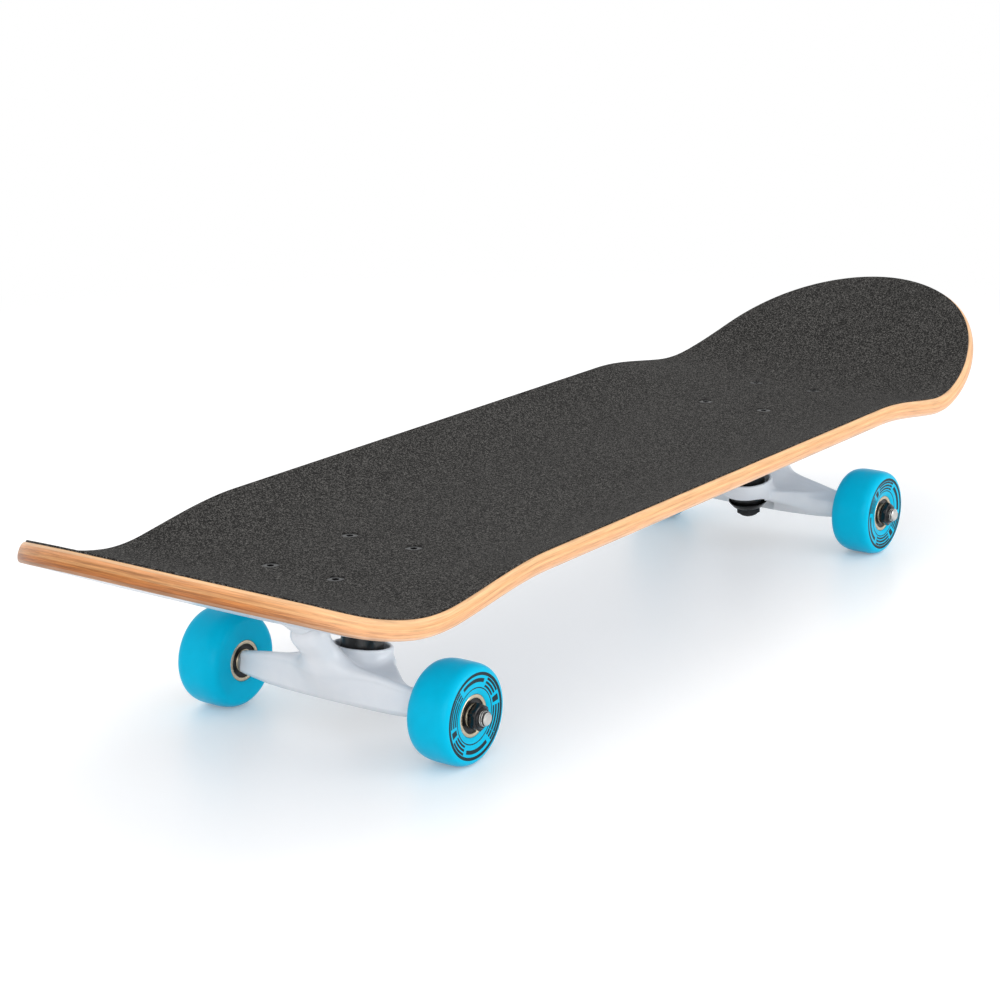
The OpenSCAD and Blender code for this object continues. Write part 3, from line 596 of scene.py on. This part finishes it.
def baseplate_field(x, y, z):
    """The plate with its tower and boss, less its holes."""
    along_x, over_z = np.abs(x - PLATE_X), np.abs(z - PLATE_TOP + PLATE / 2)
    side = rounded_corner(along_x - PLATE_HALF_LENGTH, np.abs(y) - PLATE_HALF_WIDTH, 8)
    plate = rounded_corner(side, over_z - PLATE / 2, 1.6)
    rise, out = off_axis(PIN_TILT, x, y, z)
    tower = within(out - 13.5 - 2.5 * (rise - SEAT_TOP) / 26.6, SEAT_TOP - rise, 1.5)
    reach, round_it = off_axis(PIVOT_TILT, x, y, z)
    boss = within(round_it - 9.6, BOSS_LOW - reach, 1.2)
    whole = blended(blended(plate, tower, 5), boss, 5)
    whole = np.maximum(whole, z - PLATE_TOP)
    whole = np.maximum(whole, np.maximum(along_x - PLATE_HALF_LENGTH, np.abs(y) - PLATE_HALF_WIDTH))
    kingpin_bore = np.minimum(out - 5.1, np.maximum(out - 8.9, 40.3 - rise))
    whole = within(whole, -kingpin_bore, 0.6)
    whole = within(whole, -np.maximum(round_it - 6.7, reach - 67), 0.6)
    for bx in (PLATE_X - BOLTS_ALONG / 2, PLATE_X + BOLTS_ALONG / 2):
        for by in (-BOLTS_ACROSS / 2, BOLTS_ACROSS / 2):
            whole = within(whole, BOLT_HOLE - np.hypot(x - bx, y - by), 0.6)
    return whole


def powder_coat():
    """White powder coat baked on a casting: a satin skin with faint orange peel a millimetre
    across."""
    material, tree = new_finish("white_powder_coat")
    where = add(tree, "ShaderNodeTexCoord").outputs["Object"]
    peel = add(tree, "ShaderNodeTexNoise", {"Vector": where, "Scale": 800.0, "Detail": 2.0})
    cast = add(tree, "ShaderNodeTexNoise", {"Vector": where, "Scale": 110.0, "Detail": 2.0})
    level = add(tree, "ShaderNodeMapRange", {"Value": cast, "From Min": 0.35, "From Max": 0.7})
    tone = add(tree, "ShaderNodeMix", {"Factor": level, FROM: "EAECF0", TO: "E6E9EE"},
               data_type="RGBA")
    height = add(tree, "ShaderNodeMath", {0: cast, 1: peel}, operation="ADD")
    raised = add(tree, "ShaderNodeBump", {"Height": height, "Strength": 0.07, "Distance": 0.0003})
    return finished(material, Base_Color=tone, Normal=raised, Roughness=0.36, Coat_Weight=0.25,
                    Coat_Roughness=0.22)


white_coat = powder_coat()
plate_form = skinned(baseplate_field, (-54.5, -29.5, 21.5), (40.5, 29.5, 56), 0.7)
for end in ("front", "rear"):
    form = moved(plate_form, in_truck(end))
    plate = new_piece(f"{end}_cast_baseplate", *form, white_coat, 70)
    settle(plate, "board", "white_coat", f"{end}_baseplate")

# ---------------------------------------------------------------- pivot cups
# Black urethane thimbles pressed into the baseplates' bosses. The rounded nose of the hanger turns
# in them, and a thin lip shows below the boss.

CUP_BORE, CUP_FLOOR = 5.1, 60


def poured_urethane():
    """Poured urethane: a smooth semi-gloss skin with faint flow marks a few millimetres long."""
    material, tree = new_finish("black_urethane")
    where = add(tree, "ShaderNodeTexCoord").outputs["Object"]
    flow = add(tree, "ShaderNodeTexNoise", {"Vector": where, "Scale": 260.0, "Detail": 3.0})
    gloss = add(tree, "ShaderNodeMapRange", {"Value": flow, "From Min": 0.35, "From Max": 0.65,
                                             "To Min": 0.3, "To Max": 0.42})
    tone = add(tree, "ShaderNodeMix", {"Factor": flow, FROM: "0B0B0C", TO: "131315"},
               data_type="RGBA")
    raised = add(tree, "ShaderNodeBump", {"Height": flow, "Strength": 0.05, "Distance": 0.0005})
    return finished(material, Base_Color=tone, Normal=raised, Roughness=gloss,
                    Specular_IOR_Level=0.55)


black_rubber = poured_urethane()
cup_rings = [(7.3, 55.0), (7.6, 55.3), (7.6, 55.8), (7.4, 56.0), (6.5, 56.0), (6.5, 66.0),
             (6.0, 66.5)]
cup_rings += [(CUP_BORE * math.cos(a), CUP_FLOOR + CUP_BORE * math.sin(a))
              for a in np.radians([80, 60, 40, 20, 0])]
cup_rings += [(CUP_BORE, 55.3), (CUP_BORE + 0.3, 55.0)]
for end in ("front", "rear"):
    form = moved(spun(cup_rings, loop=True), along(PIVOT_TILT, end))
    cup = new_piece(f"{end}_thimble", *form, black_rubber)
    settle(cup, "board", "black_urethane", f"{end}_pivot_cup")

# ---------------------------------------------------------------- kingpins, nuts and cup washers
# A forged bolt hangs from each tower, with its head sunk in the baseplate. Pressed cup washers
# close the two bushings at their outer ends, and a black lock nut at the foot sets how hard they
# are squeezed.

KINGPIN_NUT, WASHER_LOW = 14.3, -10.5


def plated_steel(name, pale, dark, roughness):
    """Zinc-plated steel: a bright grey metal with fine turning marks and faint clouding."""
    material, tree = new_finish(name)
    where = add(tree, "ShaderNodeTexCoord").outputs["Object"]
    cloud = add(tree, "ShaderNodeTexNoise", {"Vector": where, "Scale": 420.0, "Detail": 4.0,
                                             "Roughness": 0.6})
    tone = add(tree, "ShaderNodeMix", {"Factor": cloud, FROM: dark, TO: pale},
               data_type="RGBA")
    gloss = add(tree, "ShaderNodeMapRange", {"Value": cloud, "To Min": roughness - 0.08,
                                             "To Max": roughness + 0.08})
    raised = add(tree, "ShaderNodeBump", {"Height": cloud, "Strength": 0.06, "Distance": 0.0002})
    return finished(material, Base_Color=tone, Normal=raised, Roughness=gloss, Metallic=1.0)


zinc = plated_steel("zinc_plated_steel", "D5D5D2", "B2B2B0", 0.3)
kingpin_rings = [(3.9, -17.0), (4.4, -16.6)] + thread(4.75, 1.06, -16.5, -2.0)
head = hexagon(KINGPIN_NUT)
kingpin_rings += [(4.7, -1.9), (4.7, 40.2), (head - 0.2, 40.3), (head, 40.5), (head, 45.2),
                  (np.minimum(head, 7.9), 45.5), (np.minimum(head, 7.2), 45.8)]
dish = [(5.0, 0.0), (9.2, 0.0), (9.8, 0.35), (12.1, 3.3), (12.15, 3.55), (11.9, 3.68),
        (11.45, 3.5), (9.75, 1.5), (9.2, 1.2), (5.0, 1.2)]
pin_form, dish_form = spun(kingpin_rings), spun(dish, 96, loop=True)
nut_form = moved(lock_nut(KINGPIN_NUT, 5.5, 4.8), turned_over)
hung = (("king_bolt", "kingpin", pin_form, 0), ("king_nut", "kingpin_nut", nut_form, WASHER_LOW),
        ("lower_cup_washer", "roadside_washer", dish_form, WASHER_LOW),
        ("upper_cup_washer", "boardside_washer", moved(dish_form, turned_over), SEAT_TOP))
for end in ("front", "rear"):
    for name, node, form, up in hung:
        finish, slot = (zinc, "steel") if form is pin_form else (black_nut, "black_steel")
        piece = new_piece(f"{end}_{name}", *moved(form, along(PIN_TILT, end, up)), finish)
        settle(piece, "board", slot, f"{end}_{node}")

# ---------------------------------------------------------------- bushings
# Poured black urethane rings round the kingpin: a tall barrel above the hanger and a low cone below
# it. They squash as the truck steers, but here each is a fixed mesh that rides on no body.


def rounded(corners, radius, steps=5):
    """A closed profile of (radius, height) corners, each one rounded off."""
    made, c = [], np.array(corners, float)
    for i in range(len(c)):
        before, here, after = c[i - 1], c[i], c[(i + 1) % len(c)]
        back, on = np.linalg.norm(before - here), np.linalg.norm(after - here)
        r = min(radius, 0.45 * back, 0.45 * on)
        a, b = here + (before - here) / back * r, here + (after - here) / on * r
        for k in np.linspace(0, 1, steps):
            made.append(tuple((1 - k) ** 2 * a + 2 * k * (1 - k) * here + k * k * b))
    return made


barrel = [(5.0, 0.0), (11.1, 0.0), (11.3, 4.0), (11.3, 10.5), (11.2, 13.2), (9.2, 16.0),
          (5.0, 16.0)]
cone = [(5.0, 0.0), (9.2, 0.0), (9.5, 1.2), (11.3, 6.2), (11.2, 7.3), (5.0, 7.3)]
for end in ("front", "rear"):
    for name, profile, heights, node in (
            ("tall_bushing", barrel, (18.0, 2.0), "boardside_bushing"),
            ("cone_bushing", cone, (-9.3, -2.0), "roadside_bushing")):
        foot = along(PIN_TILT, end, min(heights))
        form = moved(spun(rounded(profile, 0.9), 96, loop=True), foot)
        bushing = new_piece(f"{end}_{name}", *form, black_rubber)
        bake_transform(bushing)
        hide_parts(f"{end}_{node}")

# ---------------------------------------------------------------- hangers
# One aluminium casting to a truck, with a white powder coat: a cupped seat round the kingpin, two
# arms that carry the axle, and a fin that sweeps up from them into a neck and the round nose in the
# pivot cup.

HANGER_END = 60.4
FIN_LEAN = math.radians(60.5)
ridge_at = np.linspace(0, 70, 281)
ridge = np.interp(ridge_at, [0, 9, 13, 18, 23, 35, 48, 56, 62],
                  [23, 21.2, 19.2, 17.1, 15.6, 12.9, 10.0, 8.2, 6.6])
ridge = np.convolve(np.pad(ridge, 12, mode="edge"), np.ones(25) / 25, "valid")


def hanger_field(x, y, z):
    """The casting, less the bushing seat and the bore for the kingpin."""
    far = np.abs(y)
    # The arms, and the fin that leans over them up to the ridge.
    arm = 6.4 + 3.0 * (1 - np.minimum(far / HANGER_END, 1) ** 3)
    u = x * math.cos(FIN_LEAN) + z * math.sin(FIN_LEAN)
    bow = 3.2 * np.exp(-(far / 24.0) ** 2) * np.clip(u / 20, 0, 1)
    v = -x * math.sin(FIN_LEAN) + z * math.cos(FIN_LEAN) + bow
    tip = 2.4 + 5.0 * np.exp(-(far / 18.0) ** 2)
    reach = np.maximum(np.interp(far, ridge_at, ridge) - tip, 0.1)
    k = np.clip(u / reach, 0, 1)
    wing = (np.hypot(u - k * reach, v) - arm - k * (np.minimum(arm, tip) - arm)) * 0.93
    wing = within(wing, far - HANGER_END, 0.8)
    # The neck that rises from the fin, and the nose in the pivot cup.
    neck = rod(x, y * 0.8, z, (0, 0, 5), (21.0, 0, 31.0), 6.8, 8.1)
    root = rod(x, y * 0.8, z, (19.0, 0, 31.5), (22.0, 0, 38.0), 7.4, 5.6)
    nose = rod(x, y, z, (15.2, 0, 34.7), (27.0, 0, 43.9), 5.0, 5.0)
    whole = blended(wing, blended(neck, root, 2.5), 8)
    whole = blended(whole, nose, 2.0)
    # The cupped seat round the kingpin, and the web that carries it.
    rise, out = off_axis(PIN_TILT, x, y, z)
    bowl = 14.4 + 1.8 * np.sin(np.clip((rise + 3) / 6, 0, 1) * math.pi / 2)
    seat = within(out - bowl, np.maximum(-2 - rise, rise - 8), 1.0)
    k = np.clip((x + 24) / 24, 0, 1)
    wide, thick = 18.5 + 26 * k, 3.0 + 4.0 * k
    beyond, over = (far - wide) * 0.62 + 1.5, np.abs(z - 6.6 * (1 - k)) - thick + 1.5
    web = np.hypot(np.maximum(beyond, 0), np.maximum(over, 0)) - 1.5
    web = np.maximum(web, np.maximum(-25 - x, x - 2))
    whole = blended(blended(seat, web, 5), whole, 3)
    # The upper bushing's seat, the kingpin's bore and the lower bushing's recess.
    whole = within(whole, -np.maximum(out - 14.2, 2 - rise), 0.8)
    whole = within(whole, 5.8 - out, 0.6)
    return within(whole, -np.maximum(out - 16.2, rise + 2), 0.6)


hanger_form = skinned(hanger_field, (-39, -62, -12), (36, 62, 51), 0.75)
for end in ("front", "rear"):
    form = moved(hanger_form, in_truck(end))
    hanger = new_piece(f"{end}_cast_hanger", *form, white_coat, 70)
    settle(hanger, f"{end}_truck", "white_coat", f"{end}_hanger")

# ---------------------------------------------------------------- axles, axle nuts, speed washers
# A hardened steel rod cast into the hanger, with rolled threads at both ends. A thin ground washer
# lies on each side of every wheel, and a glossy black lock nut holds it on.

WASHER, AXLE_NUT_AT = 0.8, 86.0
THREAD_END, THREAD_ROOTS = 93.2, 3.72
half_axle = [(3.95, 84.0)] + thread(3.97, 1.06, 84.1, THREAD_END) + [(3.35, 93.3), (2.8, 94.0)]
axle_rings = [(r, -y) for r, y in half_axle[::-1]] + half_axle
nut_gloss = blackened_steel("gloss_black_nut", 0.16)
# A darker finish for the roots of the axle threads: painted shade in the grooves.
shaded_thread_roots = blackened_steel("oily_thread_roots", 0.4)
washer = spun(rounded([(4.05, 0.0), (5.7, 0.0), (5.7, WASHER), (4.05, WASHER)], 0.2, 3), loop=True)


def on_axle(end, side, out=0.0):
    """From a frame with Z along the axle, away from the board, to the board's; out is from the
    middle."""
    outward = Matrix.Rotation(-math.pi / 2 * side, 4, "X")
    return in_truck(end) @ outward @ Matrix.Translation((0, 0, out))


for end in ("front", "rear"):
    form = spun(axle_rings)
    bar = new_piece(f"{end}_axle_rod", *moved(form, on_axle(end, 1)), zinc)
    # Faces in the thread roots take the darker finish, as painted shade.
    bar.data.materials.append(shaded_thread_roots)
    for polygon in bar.data.polygons:
        ring = form[0][list(polygon.vertices)]
        in_root = len(ring) == 4 and np.hypot(*ring[:, :2].T).mean() < THREAD_ROOTS
        polygon.material_index = int(in_root and abs(ring[0, 2]) < THREAD_END)
    settle(bar, f"{end}_truck", "steel", f"{end}_axle")
    both = joined(*[moved(lock_nut(12.7, 5.2, 4.0), on_axle(end, s, AXLE_NUT_AT)) for s in (1, -1)])
    nuts = new_piece(f"{end}_wheel_nuts", *both, nut_gloss)
    settle(nuts, f"{end}_truck", "black_steel", f"{end}_axle_nuts")
    four = joined(*[moved(washer, on_axle(end, s, out))
                    for s in (1, -1) for out in (HANGER_END, AXLE_NUT_AT - WASHER)])
    washers = new_piece(f"{end}_thin_washers", *four, zinc)
    settle(washers, f"{end}_truck", "steel", f"{end}_speed_washers")

# ---------------------------------------------------------------- bearings
# Two ball bearings press into each wheel, 22 mm across on the 8 mm axle: ground steel races,
# pressed black shields between them, and seven balls in a cage behind the shields. A spacer joins
# the inner races.

BEARINGS = (-8.5, 8.5)
WHEEL_OUT = (HANGER_END + AXLE_NUT_AT) / 2


def race(bore, outside, radius):
    """One race of a bearing, 7 mm wide."""
    return rounded([(bore, -3.5), (outside, -3.5), (outside, 3.5), (bore, 3.5)], radius, 4)


race_steel = plated_steel("ground_bearing_steel", "D2C6AE", "A89C86", 0.22)
shield_steel = blackened_steel("blackened_shield", 0.3)
inner_race = spun(race(4.05, 6.2, 0.4), 64, loop=True)
outer_race = spun(race(8.9, 11.0, 0.6), 96, loop=True)
shield = spun([(6.35, 2.35), (8.8, 2.35), (8.8, 2.65), (8.5, 2.7), (8.2, 2.6), (7.2, 2.6),
               (6.9, 2.7), (6.35, 2.65)], 64, loop=True)
shields = joined(shield, moved(shield, turned_over))


def in_wheels(form, end, sides):
    """A form put into each bearing of the wheels on these sides."""
    return joined(*[moved(form, on_axle(end, s, WHEEL_OUT + b)) for s in sides for b in BEARINGS])


for end in ("front", "rear"):
    races = new_piece(f"{end}_inner_rings", *in_wheels(inner_race, end, (1, -1)), race_steel)
    settle(races, f"{end}_truck", "bearing_steel", f"{end}_inner_races")
    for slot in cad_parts[f"{end}_bearing_spacers"].material_slots:
        slot.material = zinc
    for hand, s in (("left", 1), ("right", -1)):
        wheel = f"{end}_{hand}"
        races = new_piece(f"{wheel}_outer_rings", *in_wheels(outer_race, end, (s,)), race_steel)
        settle(races, f"{wheel}_roller", "bearing_steel", f"{wheel}_outer_races")
        lids = new_piece(f"{wheel}_lids", *in_wheels(shields, end, (s,)), shield_steel)
        settle(lids, f"{wheel}_roller", "bearing_shield", f"{wheel}_bearing_shields")
        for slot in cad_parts[f"{wheel}_ball_cages"].material_slots:
            slot.material = race_steel

# ---------------------------------------------------------------- wheels
# Cyan urethane, cast in one piece and turned to 52 mm, with rounded shoulders and a seat for a
# bearing on each side. Dark rings are pad-printed on the outer face. Each wheel stands at its own
# angle.

FACE, FACE_START = 13.2, 21.6  # the outer face's rim, from the wheel's middle and from its axis
BACK, BACK_START = -12.5, 19.6


def printed_urethane():
    """Glossy cast urethane. Every wheel keeps its own hub-centred coordinates, so that one material
    prints its marks: a broad ring near the shoulder, a thin one at the hub, and between them arcs,
    bars and short blocks, which come twice in a turn."""
    material, tree = new_finish("cyan_urethane")
    hub = add(tree, "ShaderNodeAttribute", attribute_name="hub").outputs["Vector"]
    flow = add(tree, "ShaderNodeTexNoise", {"Vector": hub, "Scale": 0.18, "Detail": 3.0})
    cyan = add(tree, "ShaderNodeMix", {"Factor": flow, FROM: "00B4DA", TO: "00BEE4"},
               data_type="RGBA")
    x, y, out = add(tree, "ShaderNodeSeparateXYZ", {"Vector": hub}).outputs
    flat = add(tree, "ShaderNodeCombineXYZ", {"X": x, "Y": y})
    length = add(tree, "ShaderNodeVectorMath", {0: flat}, operation="LENGTH")
    radius = add(tree, "ShaderNodeMath", {0: length, 1: WHEEL_RADIUS}, operation="DIVIDE")
    angle = add(tree, "ShaderNodeMath", {0: y, 1: x}, operation="ARCTAN2")
    turns = add(tree, "ShaderNodeMath", {0: angle, 1: math.pi}, operation="DIVIDE")
    turns = add(tree, "ShaderNodeMath", {0: turns, 1: 4.0}, operation="ADD")
    part = add(tree, "ShaderNodeMath", {0: turns}, operation="FRACT")

    def bands(value, *limits):
        """Ink where the value lies between two limits."""
        node = add(tree, "ShaderNodeValToRGB", {"Fac": value})
        ramp = node.color_ramp
        ramp.interpolation = "CONSTANT"
        ramp.elements[1].position = limits[0][0]
        for low, high in limits:
            if low != limits[0][0]:
                ramp.elements.new(low).color = (1, 1, 1, 1)
            ramp.elements.new(high).color = (0, 0, 0, 1)
        return node

    def rings(*limits):
        """Ink between two radii in millimetres."""
        return bands(radius, *[(a / WHEEL_RADIUS, b / WHEEL_RADIUS) for a, b in limits])

    inked = rings((13.9, 14.5), (20.5, 22.1))
    for ring, arc in (
            (rings((15.2, 16.3), (17.0, 18.2), (18.9, 20.2)),
             bands(part, (0.0, 0.24), (0.36, 0.54), (0.93, 0.999))),
            (rings((17.0, 19.0)), bands(part, (0.58, 0.89))),
            (rings((15.4, 19.6)), bands(part, (0.27, 0.33)))):
        mark = add(tree, "ShaderNodeMath", {0: ring, 1: arc}, operation="MULTIPLY")
        inked = add(tree, "ShaderNodeMath", {0: inked, 1: mark}, operation="MAXIMUM")
    face = add(tree, "ShaderNodeMath", {0: out, 1: 12.0}, operation="GREATER_THAN")
    inked = add(tree, "ShaderNodeMath", {0: inked, 1: face}, operation="MULTIPLY")
    tone = add(tree, "ShaderNodeMix", {"Factor": inked, FROM: cyan, TO: "26343A"},
               data_type="RGBA")
    raised = add(tree, "ShaderNodeBump", {"Height": flow, "Strength": 0.1, "Distance": 0.0002})
    return finished(material, Base_Color=tone, Normal=raised, Roughness=0.28,
                    Specular_IOR_Level=0.07)


def shoulder(face_at, tread_at, rim, fullness=0.78):
    """The rounded shoulder of a wheel, from tread to face, a little fuller than an ellipse."""
    return [(rim + (WHEEL_RADIUS - rim) * math.cos(a) ** fullness,
             tread_at + (face_at - tread_at) * math.sin(a) ** fullness)
            for a in np.linspace(1e-9, math.pi / 2 - 1e-9, 24)]


wheel_rings = shoulder(BACK, -0.5, BACK_START)[::-1] + shoulder(FACE, 5.5, FACE_START)
wheel_rings += [(r, FACE - 0.8 + 0.8 * ((r - 12.2) / (FACE_START - 12.2)) ** 1.3)
                for r in (20.5, 19, 17, 15, 13.2)]
wheel_rings += [(12.5, 12.38), (12.2, 12.25), (11.05, 11.9), (11.02, 5.0), (8.7, 5.0), (8.7, -5.0),
                (11.02, -5.0), (11.05, -12.0), (12.0, -12.25), (12.4, -12.32), (14.0, -12.36),
                (17.0, -12.43)]
wheel_form = spun(wheel_rings, 160, loop=True)
blue_wheel = printed_urethane()
STANDS_AT = {("front", "left"): 20, ("front", "right"): 250, ("rear", "left"): 140,
             ("rear", "right"): 75}
for (end, hand), degrees in STANDS_AT.items():
    turn = Matrix.Rotation(math.radians(degrees), 4, "Z")
    form = moved(wheel_form, on_axle(end, 1 if hand == "left" else -1, WHEEL_OUT) @ turn)
    wheel = new_piece(f"{end}_{hand}_tyre", *form, blue_wheel, 35)
    stamp(wheel, "hub", form[0], wheel_form[0])
    settle(wheel, f"{end}_{hand}_roller", "cyan_urethane", f"{end}_{hand}_wheel")

# ---------------------------------------------------------------- studio
# A plain pale floor that runs to white, wide soft lamps above and beside, and a pale surround. The
# camera looks down along the board from its rear right corner.

material, tree = new_finish("pale_floor")
floor_mesh = bpy.data.meshes.new("floor")
floor_mesh.from_pydata([(-20, -20, 0), (20, -20, 0), (20, 20, 0), (-20, 20, 0)], [], [(0, 1, 2, 3)])
floor_mesh.materials.append(material)
floor = in_scene("floor", floor_mesh)
where = add(tree, "ShaderNodeTexCoord").outputs["Object"]
away = add(tree, "ShaderNodeVectorMath", {0: where}, operation="LENGTH")
fade = add(tree, "ShaderNodeMapRange", {"Value": away, "From Min": 0.55, "From Max": 1.1},
           interpolation_type="SMOOTHSTEP")
ray = add(tree, "ShaderNodeLightPath").outputs
seen = add(tree, "ShaderNodeMath", {0: ray["Is Camera Ray"], 1: ray["Is Glossy Ray"]},
           operation="MAXIMUM")
seen = add(tree, "ShaderNodeMath", {0: seen, 1: ray["Is Transmission Ray"]}, operation="MAXIMUM")
sheen = add(tree, "ShaderNodeBsdfPrincipled", {"Base Color": "F4F4F4", "Roughness": 0.36})
lift = add(tree, "ShaderNodeMath", {0: seen, 1: 0.17}, operation="MULTIPLY")
glow = add(tree, "ShaderNodeEmission", {"Strength": lift})
near = add(tree, "ShaderNodeAddShader", {0: sheen, 1: glow})
white = add(tree, "ShaderNodeEmission", {"Strength": 1.0})
part = add(tree, "ShaderNodeMath", {0: fade, 1: seen}, operation="MULTIPLY")
mixed = add(tree, "ShaderNodeMixShader", {0: part, 1: near, 2: white})
add(tree, "ShaderNodeOutputMaterial", {"Surface": mixed})

world = bpy.data.worlds.new("studio")
bpy.context.scene.world = world
world.use_nodes = True
tree = world.node_tree
tree.nodes.clear()
ray = add(tree, "ShaderNodeLightPath").outputs
seen = add(tree, "ShaderNodeMath", {0: ray["Is Camera Ray"], 1: ray["Is Transmission Ray"]},
           operation="MAXIMUM")
soft = add(tree, "ShaderNodeBackground", {"Color": (1, 1, 1, 1), "Strength": 0.97})
plain = add(tree, "ShaderNodeBackground", {"Color": (1, 1, 1, 1), "Strength": 1.0})
mixed = add(tree, "ShaderNodeMixShader", {0: seen, 1: soft, 2: plain})
add(tree, "ShaderNodeOutputWorld", {"Surface": mixed})

for name, at, size, watts in (("overhead", (0.1, 0.2, 1.9), 1.2, 4),
                              ("right_side", (0.6, -1.8, 0.35), 0.9, 11),
                              ("camera_side", (-1.7, -0.9, 0.5), 1.3, 8)):
    light = bpy.data.lights.new(name, "AREA")
    light.size, light.energy = size, watts
    lamp = in_scene(name, light)
    lamp.location = at
    lamp.rotation_euler = (-Vector(at)).to_track_quat("-Z", "Y").to_euler()

camera = in_scene("camera", bpy.data.cameras.new("camera"))
camera.location = (-1.17250395, -0.7733208, 0.46212834)
camera.rotation_euler = [math.radians(a) for a in (74.46967, 0.31118930, -54.93685614)]
camera.data.lens, camera.data.sensor_width = 92.25337582, 36.0
bpy.context.scene.camera = camera
bpy.context.scene.view_settings.view_transform = "Standard"

bpy.context.view_layer.update()
